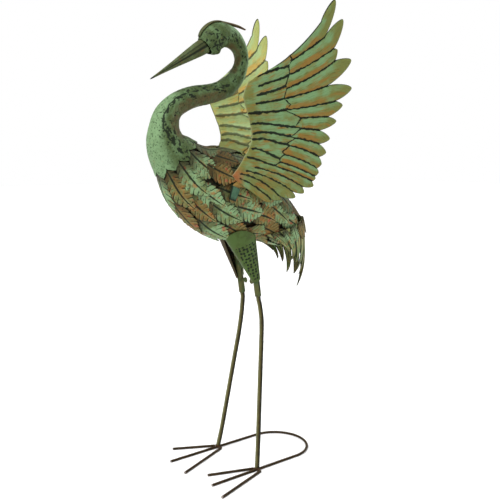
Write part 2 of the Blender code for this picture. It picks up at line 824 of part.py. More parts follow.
def centre_on_origin():
    """Moves the empty so that the origin is under the middle of the crane's box."""
    bpy.context.view_layer.update()
    graph = bpy.context.evaluated_depsgraph_get()
    backs = []
    for piece in CRANE.objects:
        if piece.type == "EMPTY":
            continue
        shape = piece.evaluated_get(graph)
        mesh = shape.to_mesh()
        backs += [(shape.matrix_world @ v.co).y for v in mesh.vertices]
        shape.to_mesh_clear()
    ROOT.location.y = -(min(backs) + max(backs)) / 2


for old in list(bpy.data.objects):
    bpy.data.objects.remove(old, do_unlink=True)

CRANE = bpy.data.collections.new("garden_crane")
bpy.context.scene.collection.children.link(CRANE)
ROOT = bpy.data.objects.new("crane", None)
CRANE.objects.link(ROOT)

make_foot_loop()
make_side_toes()
for sign, word in ((1, "left"), (-1, "right")):
    make_leg(sign, word)
    make_leg_socket(sign, word)
    make_thigh(sign, word)
    make_thumbscrew(sign, word)
    make_wing_sleeve(sign, word)
    make_wing(sign, word)
make_body()
for number in range(LEAF_ROWS):
    make_leaf_row(number)
make_neck_and_head()
make_beak()
make_crest()
make_tail()
centre_on_origin()
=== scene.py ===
"""Looks of the garden crane: embossed wings, leaf feathers, a hammered neck and old green paint.

The crane is drawn in millimetres, as in its model: x to the bird's left, y behind the line
between its ankles, z up from the ground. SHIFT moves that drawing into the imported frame.
"""

import math
import random
from functools import reduce

import bmesh
import bpy
import numpy as np
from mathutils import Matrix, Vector, noise


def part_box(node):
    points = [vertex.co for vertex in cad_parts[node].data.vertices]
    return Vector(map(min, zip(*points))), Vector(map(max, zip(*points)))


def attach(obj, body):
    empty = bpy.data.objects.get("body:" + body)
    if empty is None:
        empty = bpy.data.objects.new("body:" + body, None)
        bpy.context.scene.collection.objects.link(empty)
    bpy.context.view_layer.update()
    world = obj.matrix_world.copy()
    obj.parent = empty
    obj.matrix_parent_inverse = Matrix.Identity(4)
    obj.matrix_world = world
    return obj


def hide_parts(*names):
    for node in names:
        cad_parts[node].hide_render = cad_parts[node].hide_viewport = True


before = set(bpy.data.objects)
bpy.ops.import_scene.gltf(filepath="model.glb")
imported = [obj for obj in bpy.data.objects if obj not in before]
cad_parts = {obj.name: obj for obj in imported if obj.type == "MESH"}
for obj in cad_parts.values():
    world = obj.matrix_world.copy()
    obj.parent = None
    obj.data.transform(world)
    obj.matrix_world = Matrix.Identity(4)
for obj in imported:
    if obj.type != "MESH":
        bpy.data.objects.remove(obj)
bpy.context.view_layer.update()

MM = 0.001
TAU = math.tau

# Sizes that the model drives its pieces with, in millimetres
SHEET = 1.5
LEAF_SHEET = 1.0  # as drawn here
CAD_LEAF_SHEET = 1.2  # in the model
LEAF_RIDGE = 0.8
FOOT_ROD = 6.0
LEG_ROD = 9.5
SOCKET_WALL = 1.4
CLEAR = 0.3
LOOP_SPREAD = 138
LOOP_BACK = 105
MIDDLE_TOES = {"left": 111, "right": 121}
LEG_ENTRY = 36
BORE_SPARE = 3
ROD_SIDES = 8
TUBE_SIDES = 10
LEAF_LENGTH = 82
LEAF_WIDTH = 34
LEAF_SPACING = 42
LEAF_START = 4
LEAF_BASE_LIFT = 2.0
LEAF_TIP_LIFT = 8.4
TAIL_BARE = 22
TONGUE = 14
TAB_WIDTH = 16
TAB_FOOT_SHARE = 0.36
SLEEVE_LENGTH = 26
CREST_WIDTH = 13
THIGH_FOOT = 8.4
THIGH_DEPTH = 37
THIGH_WIDTH = 26
# A foot rod's centre above its flat
ROD_DOWN = math.cos(math.pi / ROD_SIDES) * FOOT_ROD / 2

# Stations from the tail to the brow: back, up, half depth in the middle plane, half width
SPINE = (
    (164, 466, 9, 9),
    (149, 474, 21, 20),
    (110, 496, 41, 36),
    (57, 527, 60, 48),
    (0, 547, 76, 56),
    (-54, 567, 78, 55),
    (-104, 594, 64, 46),
    (-137, 626, 45, 37),
    (-157, 652, 36, 32),
    (-163, 676, 30, 29),
    (-158, 703, 25, 25),
    (-144, 721, 22, 22),
    (-123, 734, 21, 21),
    (-98, 743, 20, 20),
    (-72, 748, 19, 19),
    (-48, 754, 18, 18),
    (-22, 765, 18, 18),
    (1, 786, 16, 16),
    (13, 814, 14, 14),
    (9, 838, 15, 15),
    (-7, 855, 19, 18),
    (-27, 861, 22, 22),
    (-45, 858, 25, 23),
    (-61, 849, 23, 20),
    (-74, 837, 16, 13),
)
COLLAR_STATION = 7.36
BROW_STATION = len(SPINE) - 1
BEAK_TIP = (-190, 769)

LEG_LINE = ((62, 8, 60), (46, 26, 198), (39, 34, 258), (34.5, 38, 300), (29.5, 37.5, 330))
SOCKET_LINE = ((27, 35, 350), (27, 29.5, 386), (25, 22.5, 420), (23, 13, 456))
THIGH_LINE = ((27, 29.5, 384), (23.5, -14.5, 496))
THIGH_FRONT = {"left": 1.0, "right": 0.3}
THIGH_OPENING = math.radians(75)
SIDE_TOES = {
    "left_inner_toe": ((-7.5, -3), (-40, -94)),
    "left_outer_toe": ((10, 1), (50, -122)),
    "right_outer_toe": ((-7.5, -3), (-50, -86)),
    "right_inner_toe": ((10, 1), (62, -125)),
}

# Lines between the wing's feathers: start on the leading edge, end of the small feathers, notch
FEATHER_LINES = (
    ((-4, 779), (62, 822), (123, 890)),
    ((-18, 768), (66, 812), (134, 860)),
    ((-24, 755), (66, 787), (159, 841)),
    ((-25, 742), (64, 762), (165, 819)),
    ((-20, 729), (60, 742), (155, 771)),
    ((-13, 713), (66, 721), (177, 742)),
    ((-5, 693), (103, 707), (164, 711)),
    ((-1, 675), (106, 687), (148, 684)),
    ((-1, 664), (96, 668), (152, 657)),
    ((-6, 652), (83, 653), (155, 631)),
    ((-13, 641), (71, 636), (150, 608)),
    ((-20, 633), (58, 621), (144, 592)),
    ((-28, 624), (48, 612), (136, 582)),
    ((-36, 616), (30, 604), (110, 572)),
    ((-44, 608), (14, 596), (83, 564)),
    ((-51, 602), (2, 588), (48, 557)),
    ((-57, 597), (-10, 577), (29, 550)),
    ((-46, 586), (-8, 560), (13, 547)),
)
FEATHER_TIPS = (
    (148, 930),
    (171, 896),
    (167, 840),
    (202, 823),
    (212, 769),
    (196, 735),
    (186, 703),
    (177, 667),
    (173, 639),
    (163, 616),
    (155, 599),
    (146, 586),
    (140, 572),
    (114, 559),
    (91, 551),
    (54, 548),
    (29, 544),
)
SLEEVE_FOOT = (-58, 551)
SLEEVE_LEAN = math.radians(21)
TAIL_BLADES = 11
TAIL_TURN = math.radians(140)

# From the middle plane to the sleeves' inner faces
SLEEVE_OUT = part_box("left_wing_sleeve")[0].x / MM
# The loop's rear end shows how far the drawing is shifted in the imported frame
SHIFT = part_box("foot_loop")[1].y - (LOOP_BACK + LOOP_SPREAD / 2 + ROD_DOWN) * MM


# Curves and skins


def smooth_step(value):
    value = np.clip(value, 0, 1)
    return value * value * (3 - 2 * value)


def blend(a, b, share):
    return a + (b - a) * share


def bell(value, width):
    """1 where a value is 0, falling away on both sides over a width."""
    return np.exp(-((value / width) ** 2))


def largest(*values):
    return reduce(np.maximum, values)


def vec(*parts):
    """Places out of their three measures, each a number or an array."""
    return np.stack(np.broadcast_arrays(*[np.asarray(p, float) for p in parts]), -1)


SPINE_ROWS = np.array(SPINE, float)
SPINE_ROWS = np.vstack(
    [2 * SPINE_ROWS[0] - SPINE_ROWS[1], SPINE_ROWS, 2 * SPINE_ROWS[-1] - SPINE_ROWS[-2]]
)


def spine(station):
    """Centre, direction, half depth and half width at stations."""
    station = np.asarray(station, float)
    first = np.clip(np.floor(station), 0, BROW_STATION - 1).astype(int)
    share = (station - first)[..., None]
    a, b, c, d = (SPINE_ROWS[first + k] for k in range(4))
    bends = (c - a, 2 * a - 5 * b + 4 * c - d, 3 * (b - c) + d - a)
    here = b + 0.5 * (bends[0] * share + bends[1] * share**2 + bends[2] * share**3)
    slope = bends[0] + 2 * bends[1] * share + 3 * bends[2] * share**2
    length = np.hypot(slope[..., 0], slope[..., 1])
    centre = vec(0, here[..., 0], here[..., 1])
    direction = vec(0, slope[..., 0] / length, slope[..., 1] / length)
    return centre, direction, here[..., 2], here[..., 3]


def skin(station, angle, lift=0.0):
    """Points on the skin: angle 0 is on the back, a quarter turn is on the left side."""
    centre, direction, depth, width = spine(station)
    normal = vec(0, direction[..., 2], -direction[..., 1])
    up = (np.cos(angle) * (depth + lift))[..., None]
    out = np.sin(angle) * (width + lift)
    return centre + normal * up + vec(out, 0, 0)


TABLE_STATIONS = np.linspace(0, BROW_STATION, 20 * BROW_STATION + 1)
TABLE_STEPS = np.linalg.norm(np.diff(spine(TABLE_STATIONS)[0], axis=0), axis=1)
TABLE_LENGTHS = np.concatenate([[0], np.cumsum(TABLE_STEPS)])
COLLAR_LENGTH = float(np.interp(COLLAR_STATION, TABLE_STATIONS, TABLE_LENGTHS))


def station_at(distance):
    """The station at a distance behind the collar, towards the tail."""
    return np.interp(COLLAR_LENGTH - distance, TABLE_LENGTHS, TABLE_STATIONS)


def inside_skin(point, lift):
    """True if a point lies within the body's skin raised by lift."""
    stations = np.linspace(0, COLLAR_STATION, 57)
    centre, direction, depth, width = spine(stations)
    offset = np.asarray(point) - centre
    k = int(np.argmin(np.abs((offset * direction).sum(-1))))
    normal = np.array([0, direction[k][2], -direction[k][1]])
    return math.hypot(offset[k] @ normal / (depth[k] + lift), point[0] / (width[k] + lift)) < 1


def through(points, steps):
    """A smooth line through points, with steps between each two."""
    points = np.array(points, float)
    rows = np.vstack([2 * points[0] - points[1], points, 2 * points[-1] - points[-2]])
    share = (np.arange(steps) / steps)[:, None]
    parts = []
    for a, b, c, d in zip(rows, rows[1:], rows[2:], rows[3:]):
        parts.append(
            0.5 * (2 * b + (c - a) * share + (2 * a - 5 * b + 4 * c - d) * share**2
                   + (3 * b - 3 * c + d - a) * share**3)
        )
    return np.vstack([*parts, points[-1:]])


def resample(line, step):
    """Points set evenly along a line, about step apart."""
    lengths = np.concatenate([[0], np.cumsum(np.linalg.norm(np.diff(line, axis=0), axis=1))])
    count = max(2, round(lengths[-1] / step) + 1)
    even = np.linspace(0, lengths[-1], count)
    return np.stack([np.interp(even, lengths, line[:, k]) for k in range(3)], -1), even


# Mesh building


WELD_REACH = 0.00001  # metres


class Sheets:
    """Grids of points that become one mesh, with a value per point for each named attribute."""

    def __init__(self):
        self.points = []
        self.faces = []
        self.values = {}
        self.count = 0

    def add(self, points, flip=False, wrap=False, caps=False, slot_index=0, **values):
        rows, columns = points.shape[:2]
        index = self.count + np.arange(rows * columns).reshape(rows, columns)
        if wrap:
            index = np.hstack([index, index[:, :1]])
        quads = np.stack([index[:-1, :-1], index[:-1, 1:], index[1:, 1:], index[1:, :-1]], -1)
        quads = quads.reshape(-1, 4)
        if flip:
            quads = quads[:, ::-1]
        self.faces += [(tuple(q), slot_index) for q in quads.tolist()]
        if caps:
            ends = [index[0, :columns][::-1], index[-1, :columns]]
            for end in ends:
                end = end[::-1] if flip else end
                self.faces.append((tuple(end.tolist()), slot_index))
        self.points.append(points.reshape(-1, 3))
        for name in set(self.values) | set(values):
            held = self.values.setdefault(name, [np.zeros(self.count)])
            given = np.broadcast_to(values.get(name, 0.0), (rows, columns))
            held.append(np.asarray(given, float).reshape(-1))
        self.count += rows * columns

    def build(self, name, materials, nodes, side=1, weld=False, thickness=0.0, two_sided=False):
        """Makes the piece; a side of -1 mirrors it to the bird's right."""
        points = np.vstack(self.points) * MM
        points[:, 0] *= side
        points[:, 1] += SHIFT
        mesh = bpy.data.meshes.new(name)
        mesh.from_pydata(points.tolist(), [], [face for face, _ in self.faces])
        mesh.polygons.foreach_set("material_index", [m for _, m in self.faces])
        for key, held in self.values.items():
            layer = mesh.attributes.new(key, "FLOAT", "POINT")
            layer.data.foreach_set("value", np.concatenate(held).astype(np.float32))
        if weld or side < 0:
            grown = bmesh.new()
            grown.from_mesh(mesh)
            if weld:
                bmesh.ops.remove_doubles(grown, verts=grown.verts, dist=WELD_REACH)
            if side < 0:
                bmesh.ops.reverse_faces(grown, faces=grown.faces)
            grown.to_mesh(mesh)
            grown.free()
        mesh.shade_smooth()
        piece = add_object(name, mesh)
        for material in materials:
            mesh.materials.append(material)
        if thickness:
            solid = piece.modifiers.new("thickness", "SOLIDIFY")
            solid.thickness = thickness * MM
            solid.offset = 0
            if two_sided:
                solid.material_offset = 1
        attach(piece, "root")
        if nodes:
            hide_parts(*nodes)
        return piece


def tube(line, radius, sides):
    """Rings round a line; radius is a number, or an array of rows by sides."""
    ways = np.gradient(line, axis=0)
    ways /= np.linalg.norm(ways, axis=1)[:, None]
    turns = np.arange(sides) * TAU / sides
    rings = []
    across = np.cross(ways[0], (0, 0, 1) if abs(ways[0][2]) < 0.9 else (0, 1, 0))
    for centre, way in zip(line, ways):
        across = across - way * (across @ way)
        across /= np.linalg.norm(across)
        up = np.cross(way, across)
        rings.append(np.outer(np.cos(turns), across) + np.outer(np.sin(turns), up))
    radius = np.broadcast_to(np.asarray(radius, float), (len(line), sides))
    return line[:, None, :] + np.array(rings) * radius[..., None]


def field(points, size, shift, value):
    flat = points.reshape(-1, 3) / size + shift
    return np.array([value(Vector(p)) for p in flat.tolist()]).reshape(points.shape[:-1])


def lumps(points, size, seed):
    """Smooth noise from -1 to 1 at points, its lumps about size across."""
    return field(points, size, seed * 7.3, noise.noise)


def dents(points, size, seed):
    """Nearness to scattered points, 1 at each and 0 between them, about size apart."""
    return field(points, size, seed * 3.7, lambda p: 1 - min(1.0, noise.voronoi(p)[0][0] * 2))


def add_object(name, data):
    made = bpy.data.objects.new(name, data)
    bpy.context.scene.collection.objects.link(made)
    return made


# Materials


class Paint:
    """Builds one Principled material out of nodes, colour on top of colour."""

    def __init__(self, name, base):
        self.material = bpy.data.materials.new(name)
        self.material.use_nodes = True
        self.nodes = self.material.node_tree.nodes
        self.links = self.material.node_tree.links
        self.shader = self.nodes["Principled BSDF"]
        for key, value in (("Roughness", 0.55), ("Metallic", 0.1), ("Specular IOR Level", 0.12)):
            self.shader.inputs[key].default_value = value
        self.colour = self.nodes.new("ShaderNodeRGB").outputs[0]
        self.colour.default_value = (*base, 1)
        self.place = self.nodes.new("ShaderNodeTexCoord").outputs["Object"]

    def node(self, kind, **inputs):
        """A node with its inputs linked or set; i0, i1 and i2 name them by their place."""
        made = self.nodes.new("ShaderNode" + kind)
        for key, value in inputs.items():
            socket = made.inputs[int(key[1:]) if key[0] == "i" and key[1:].isdigit() else key]
            if isinstance(value, bpy.types.NodeSocket):
                self.links.new(value, socket)
            else:
                socket.default_value = value
        return made

    def value(self, name):
        """A value that the mesh carries at each point."""
        made = self.nodes.new("ShaderNodeAttribute")
        made.attribute_name = name
        return made.outputs["Fac"]

    def maths(self, operation, a, b):
        made = self.node("Math", i0=a, i1=b)
        made.operation = operation
        return made.outputs[0]

    def times(self, a, b):
        return self.maths("MULTIPLY", a, b)

    def plus(self, a, b):
        return self.maths("ADD", a, b)

    def noise(self, size, detail=4.0, stretch=None, seed=0.0):
        """Cloudy values; size is the clouds' size in metres, stretch draws them out along a feather."""
        place = self.place
        if stretch is not None:
            along = self.times(self.value("along"), stretch)
            across = self.value("across")
            place = self.node("CombineXYZ", i0=along, i1=across, i2=self.value("tone")).outputs[0]
        moved = self.node("Mapping", i0=place)
        moved.inputs["Location"].default_value = (seed, seed * 0.7, seed * 1.3)
        made = self.node("TexNoise", Vector=moved.outputs[0], Scale=1 / size, Detail=detail, Roughness=0.6)
        return made.outputs["Fac"]

    def step(self, value, low, high):
        """0 below low, 1 above high."""
        made = self.node("MapRange", i0=value, i1=low, i2=high)
        made.interpolation_type = "SMOOTHSTEP"
        return made.outputs[0]

    def patches(self, size, low, high, seed, detail=4.0):
        return self.step(self.noise(size, detail, seed=seed), low, high)

    def over(self, colour, share, strength=None):
        """Lays a colour over what is there, by a share, times a strength if one is given."""
        made = self.nodes.new("ShaderNodeMix")
        made.data_type = "RGBA"
        share = share if strength is None else self.times(share, strength)
        self.links.new(share, made.inputs[0])
        self.links.new(self.colour, made.inputs[6])
        made.inputs[7].default_value = (*colour, 1)
        self.colour = made.outputs[2]

    def brushed(self, name, low, high, rough=0.8):
        """A value of the mesh turned into a mark with an uneven edge."""
        edge = self.times(self.maths("SUBTRACT", self.noise(0.0020, 3.0, seed=11), 0.5), rough)
        return self.step(self.plus(self.value(name), edge), low, high)

    def finish(self, grain, depth, rough=None):
        """Adds fine relief, its grain and depth in metres, and joins all to the shader."""
        height = self.times(self.noise(grain, 3.0, seed=3), depth)
        relief = self.node("Bump", Strength=1.0, Distance=1.0, Height=height)
        self.links.new(relief.outputs[0], self.shader.inputs["Normal"])
        self.links.new(self.colour, self.shader.inputs["Base Color"])
        if rough is not None:
            self.links.new(rough, self.shader.inputs["Roughness"])
        return self.material


DEEP_GREEN = (0.035, 0.06, 0.03)
CREAM = (0.30, 0.32, 0.17)
OLIVE = (0.09, 0.085, 0.03)
ORANGE = (0.22, 0.105, 0.028)
RUST = (0.27, 0.085, 0.03)
BROWN = (0.045, 0.026, 0.010)
NEAR_BLACK = (0.006, 0.010, 0.005)
BARE_STEEL = (0.55, 0.52, 0.48)
CLOUD_SIZE = 0.02  # metres


def paint_wing(name, base, teal, streak, line_share):
    """Teal clouds, warm streaks and dull scratches along the feathers, black in the lines."""
    paint = Paint(name, base)
    teal_value = paint.plus(paint.times(paint.value("teal"), 0.45), paint.noise(0.020, seed=1))
    paint.over(teal, paint.step(teal_value, 0.45, 1.00), 0.9)
    flow = paint.noise(0.0030, 3.0, stretch=0.10, seed=2)
    warm_value = paint.plus(paint.times(paint.value("warm"), 0.45), flow)
    paint.over(streak, paint.step(warm_value, 0.60, 0.98), 0.9)
    scratches = paint.noise(0.0014, 2.0, stretch=0.07, seed=5)
    paint.over(tuple(0.35 * part for part in base), paint.step(scratches, 0.54, 0.72), 0.6)
    paint.over(RUST, paint.value("rust"))
    paint.over(CREAM, paint.value("rim"), 0.6)
    paint.over(NEAR_BLACK, paint.brushed("groove", 0.34, 0.56), line_share)
    return paint.finish(0.002, 0.0004, paint.plus(paint.times(flow, 0.3), 0.4))


def paint_leaf():
    """Green to brown by each leaf's tone, with orange, rust and black patches, painted highlights and
    painted shade.
    """
    paint = Paint("leaf_paint", (0.125, 0.157, 0.054))
    tone = paint.plus(paint.value("tone"), paint.times(paint.noise(0.014, seed=7), 1.6))
    paint.over((0.185, 0.30, 0.145), paint.maths("SUBTRACT", 1.0, paint.step(tone, 0.85, 1.25)))
    paint.over((0.150, 0.100, 0.028), paint.step(tone, 1.20, 1.55))
    paint.over((0.29, 0.115, 0.025), paint.patches(0.016, 0.53, 0.66, seed=4), 0.75)
    paint.over((0.32, 0.065, 0.035), paint.patches(0.012, 0.60, 0.69, seed=9, detail=3.0), 0.85)
    # Painted highlight beside each rib and on each lobe
    paint.over((0.25, 0.33, 0.16), paint.value("rim"), 0.40)
    # Dark brown on the back, and painted shade at each leaf's base
    paint.over((0.035, 0.026, 0.009), paint.value("shade"), 0.85)
    paint.over(NEAR_BLACK, paint.patches(0.0040, 0.56, 0.65, seed=6), 0.65)
    # Near black in the pressed lines, and painted shadow round each leaf's edge
    paint.over(NEAR_BLACK, paint.brushed("groove", 0.30, 0.62), 0.95)
    return paint.finish(0.0016, 0.0004, paint.plus(paint.times(paint.value("tone"), 0.15), 0.5))


def paint_neck():
    """Deep green, pale on the breast and nape partly as a painted highlight, brown on the back, with black
    dabs.
    """
    paint = Paint("neck_paint", (0.056, 0.084, 0.028))
    paint.over((0.12, 0.20, 0.09), paint.patches(0.018, 0.45, 0.62, seed=2), 0.6)
    # Pale paint and painted highlight on the breast and nape
    paint.over((0.18, 0.295, 0.145), paint.value("pale"), 0.85)
    paint.over((0.085, 0.14, 0.06), paint.patches(0.009, 0.50, 0.68, seed=12), 0.5)
    brown = paint.times(paint.value("back"), paint.patches(0.012, 0.25, 0.6, seed=5))
    paint.over((0.075, 0.055, 0.020), brown, 0.9)
    paint.over(ORANGE, paint.patches(0.010, 0.62, 0.75, seed=6), 0.30)
    paint.over((0.025, 0.045, 0.018), paint.patches(0.0040, 0.56, 0.63, seed=9, detail=3.0), 0.7)
    paint.over(NEAR_BLACK, paint.brushed("groove", 0.38, 0.66), 0.9)
    return paint.finish(0.003, 0.0008)


def paint_plain(name, base, second, third, rim=CREAM):
    """Two clouded colours, worn to a third, with the rim colour, brown and near black where the mesh's
    values say; on some pieces these are painted highlight and painted shade.
    """
    paint = Paint(name, base)
    paint.over(second, paint.patches(CLOUD_SIZE, 0.42, 0.62, seed=2))
    paint.over(third, paint.patches(CLOUD_SIZE * 0.4, 0.56, 0.70, seed=6), 0.7)
    # The rim value is a painted highlight on the legs and tail blades
    paint.over(rim, paint.value("rim"), 0.7)
    # Brown, and painted shade on the legs
    paint.over(BROWN, paint.value("shade"))
    # Near black in grooves, and painted shade on the legs, sockets and sleeves
    paint.over(NEAR_BLACK, paint.brushed("groove", 0.25, 0.62, rough=0.3), 0.92)
    paint.over(BARE_STEEL, paint.value("cut"))
    return paint.finish(0.0015, 0.0004)


WING_OUTER = paint_wing(
    "wing_outer_paint", (0.140, 0.155, 0.040), (0.148, 0.275, 0.125), (0.225, 0.118, 0.022), 0.97
)
WING_INNER = paint_wing("wing_inner_paint", (0.44, 0.48, 0.15), (0.43, 0.57, 0.26), (0.58, 0.37, 0.08), 0.7)
LEAF_PAINT = paint_leaf()
NECK_PAINT = paint_neck()
BEAK_PAINT = paint_plain("beak_paint", (0.060, 0.072, 0.026), (0.085, 0.115, 0.048), (0.13, 0.065, 0.018))
CREST_PAINT = paint_plain(
    "crest_paint", (0.070, 0.085, 0.030), (0.04, 0.055, 0.02), BROWN, rim=(0.11, 0.05, 0.02)
)
TAIL_PAINT = paint_plain("tail_paint", (0.23, 0.23, 0.075), (0.10, 0.18, 0.065), ORANGE)
THIGH_PAINT = paint_plain("thigh_paint", (0.060, 0.102, 0.025), (0.048, 0.076, 0.018), OLIVE)
THIGH_INSIDE = paint_plain("thigh_inside_paint", (0.03, 0.018, 0.008), BROWN, OLIVE)
LEG_PAINT = paint_plain("leg_paint", (0.064, 0.054, 0.014), (0.040, 0.032, 0.009), (0.028, 0.016, 0.006))
SOCKET_PAINT = paint_plain("socket_paint", (0.085, 0.085, 0.028), (0.045, 0.075, 0.026), BROWN)
FOOT_PAINT = paint_plain(
    "foot_paint",
    (0.046, 0.022, 0.008),
    (0.028, 0.015, 0.007),
    (0.085, 0.042, 0.017),
    rim=(0.13, 0.066, 0.026),
)
SLEEVE_PAINT = paint_plain("sleeve_paint", (0.06, 0.13, 0.075), (0.04, 0.095, 0.055), DEEP_GREEN)
# Near black: painted shade for the body, which shows only in the gaps between the leaves
SHELL_PAINTED_SHADE = paint_plain("shell_paint", (0.010, 0.011, 0.005), BROWN, NEAR_BLACK)


# Wings

TAB_OUT = SLEEVE_OUT + SOCKET_WALL + CLEAR + SHEET / 2


def wing_out(back, up):
    """How far the wing's sheet stands out from the middle plane."""
    share = smooth_step((690 - up) / 100)
    raised = 52.2 + 0.16 * (up - 678) + 0.1885 * back
    lower = TAB_OUT + 0.10 * (586 - up) * np.where(up < 586, 1, 0.3) + 0.04 * (back + 50)
    return blend(raised, lower, share)


def middle_share(line):
    start, middle, end = (np.array(p, float) for p in line)
    first = np.linalg.norm(middle - start)
    return first / (first + np.linalg.norm(end - middle))


def line_point(line, share):
    """Points on a feather line: 0 at the leading edge, 1 at the notch."""
    start, middle, end = (np.array(p, float) for p in line)
    bend = middle_share(line)
    share = np.asarray(share, float)[..., None]
    a = (share - bend) * (share - 1) / bend
    b = share * (share - 1) / (bend * (bend - 1))
    c = share * (share - bend) / (1 - bend)
    return start * a + middle * b + end * c


def tip_points(line, tip, share, swell):
    """Points on the curved edge from a notch to a feather's tip."""
    end = np.array(line[2], float)
    along = np.array(tip, float) - end
    across = np.array([-along[1], along[0]]) * swell
    share = share[:, None]
    return end + along * share + across * 2.3 * share**0.85 * (1 - share) ** 0.5


def sleeve_point(along, across, out):
    up = np.array([0, math.sin(SLEEVE_LEAN), math.cos(SLEEVE_LEAN)])
    behind = np.array([0, math.cos(SLEEVE_LEAN), -math.sin(SLEEVE_LEAN)])
    return np.array([0, *SLEEVE_FOOT], float) + up * along + behind * across + np.array([out, 0, 0])


WING_COLUMNS = 15
COVERT_ROWS = 42
FEATHER_ROWS = 44
TIP_ROWS = 26
# Along a feather: 0 to 1 on its small feather, 1 to 2 from there to the notch
FEATHER_SHARES = np.concatenate([np.linspace(0, 1, COVERT_ROWS), np.linspace(1, 2, FEATHER_ROWS)[1:]])
ACROSS = np.linspace(0, 1, WING_COLUMNS)
FEATHER_APART = 40.0  # keeps the noise and streaks of one feather apart from the next one's
WING_MIDDLE = np.array([60.0, 690.0])
TIP_INSET = 1.3
RELIEF_MIDDLE = 1.3  # the height of the relief that lies on the sheet's place
RUSTY_CORNER = np.array([-54, 595])
# Lines between the small feathers: where they start and end among the long feathers' lines, how
# far they reach, and how much of them is bare by the leading edge
COVERT_LINES = (
    (0.1, 1.25, 0.97, 0.1),
    (2, 2, 0.97, 0.32),
    (3, 2.8, 0.95, 0.32),
    (4, 4, 1.0, 0.28),
    (5, 5, 1.0, 0.04),
    (6, 6.85, 0.88, 0.04),
    (7, 7.9, 0.88, 0.04),
    (8, 8.9, 0.88, 0.03),
    (9.5, 10.6, 0.92, 0.10),
    (11.2, 11.9, 0.95, 0.10),
)
# The small feathers' rounded ends, from the top down, as line and reach
COVERT_ENDS = (
    (0, 1.0),
    (1, 1.05),
    (1.25, 0.97),
    (2, 1.0),
    (2.8, 0.95),
    (3, 1.0),
    (4, 1.0),
    (4.6, 1.12),
    (5, 1.0),
    (6, 1.0),
    (6.85, 0.88),
    (7, 1.0),
    (7.9, 0.88),
    (8, 1.0),
    (8.9, 0.88),
    (9, 1.0),
    (9.8, 0.90),
    (10, 1.0),
    (10.6, 0.92),
    (11, 1.0),
    (11.9, 0.95),
)
# Where the lines between the long feathers begin, where that isn't at the small feathers' ends
LONG_STARTS = {13: 0.50, 14: 0.35, 15: 0.25, 16: 0.35}


def wing_place(line, share):
    """Places on the wing; lines count from the top, and share is as in FEATHER_SHARES."""
    low = min(int(line), len(FEATHER_LINES) - 2)
    pair = []
    for corners in FEATHER_LINES[low : low + 2]:
        middle = middle_share(corners)
        along = np.where(share < 1, middle * share, middle + (1 - middle) * (share - 1))
        pair.append(line_point(corners, along))
    return blend(pair[0], pair[1], line - low)


def engraved_lines():
    """The lines pressed into a wing: between small feathers, round their ends, between long ones."""
    coverts = []
    for start, end, reach, bare in COVERT_LINES:
        shares = np.linspace(bare, 1, 16)
        lines = blend(start, end, smooth_step(shares))
        coverts.append(np.array([wing_place(a, np.array(b * reach)) for a, b in zip(lines, shares)]))
    ends = [np.array([wing_place(line, np.array(share)) for line, share in COVERT_ENDS])]
    longs = []
    for line in range(1, len(FEATHER_LINES) - 1):
        shares = np.linspace(LONG_STARTS.get(line, 1.02), 2, 20)
        longs.append(wing_place(line, shares))
    return coverts, ends, longs


def line_gap(points, lines):
    """Distances from points to the nearest of some lines."""
    nearest = np.full(points.shape[:-1], 1e9)
    for line in lines:
        for a, b in zip(line, line[1:]):
            way = b - a
            share = np.clip(((points - a) @ way) / (way @ way + 1e-9), 0, 1)
            gap = np.linalg.norm(points - a - share[..., None] * way, axis=-1)
            nearest = np.minimum(nearest, gap)
    return nearest


def inner_tip(tip):
    """A feather's tip, drawn in so that the sheet's thickness stays within the wing's outline."""
    away = np.array(tip, float) - WING_MIDDLE
    return tuple(np.array(tip) - TIP_INSET * away / np.linalg.norm(away))


def feather_grids():
    """For each feather its flat places, and its widths from the leading edge to the tip."""
    free = 1 - (1 - np.linspace(0, 1, TIP_ROWS)[1:]) ** 2
    grids = []
    for feather, tip in enumerate(FEATHER_TIPS):
        edges = []
        for line, swell in ((feather, 0.10), (feather + 1, -0.10)):
            rounded = tip_points(FEATHER_LINES[line], inner_tip(tip), free, swell)
            edges.append(np.vstack([wing_place(line, FEATHER_SHARES), rounded]))
        flat = blend(edges[0][:, None, :], edges[1][:, None, :], ACROSS[None, :, None])
        grids.append((flat, np.linalg.norm(edges[1] - edges[0], axis=1)[:, None]))
    return grids


def feather_relief(feather, flat, width, lengths, lines):
    """How high a feather stands between its pressed lines, and how dark it is in them."""
    deep = vec(flat[..., 0], flat[..., 1], FEATHER_APART * feather)
    jagged = flat + 0.9 * np.stack([lumps(deep, 4.0, 1), lumps(deep, 4.0, 2)], -1)
    bold = 1.0 + 0.8 * lumps(deep, 7.0, 3)
    covert_gap, end_gap, long_gap = (line_gap(jagged, group) for group in lines)
    is_free = (np.arange(len(lengths)) >= len(FEATHER_SHARES) - 1)[:, None]
    edge_gap = np.where(is_free, width * np.minimum(ACROSS, 1 - ACROSS), 30.0)
    nearest = np.minimum(np.minimum(covert_gap, long_gap), np.minimum(end_gap + 0.6, edge_gap + 0.5))
    height = 2.9 * (1 - np.exp(-nearest / 3.6)) * smooth_step(lengths / 14 + 0.25)
    upper_edge = np.where(feather == 0, width * ACROSS[None, :], 9.0)
    dark = largest(
        bell(covert_gap, 2.9 * bold),
        bell(long_gap, 2.2 * bold),
        0.95 * bell(end_gap, 1.5 * bold),
        0.8 * bell(edge_gap, 1.2),
        bell(upper_edge, 2.0) * smooth_step((lengths - 40) / 20),
    )
    return height, dark


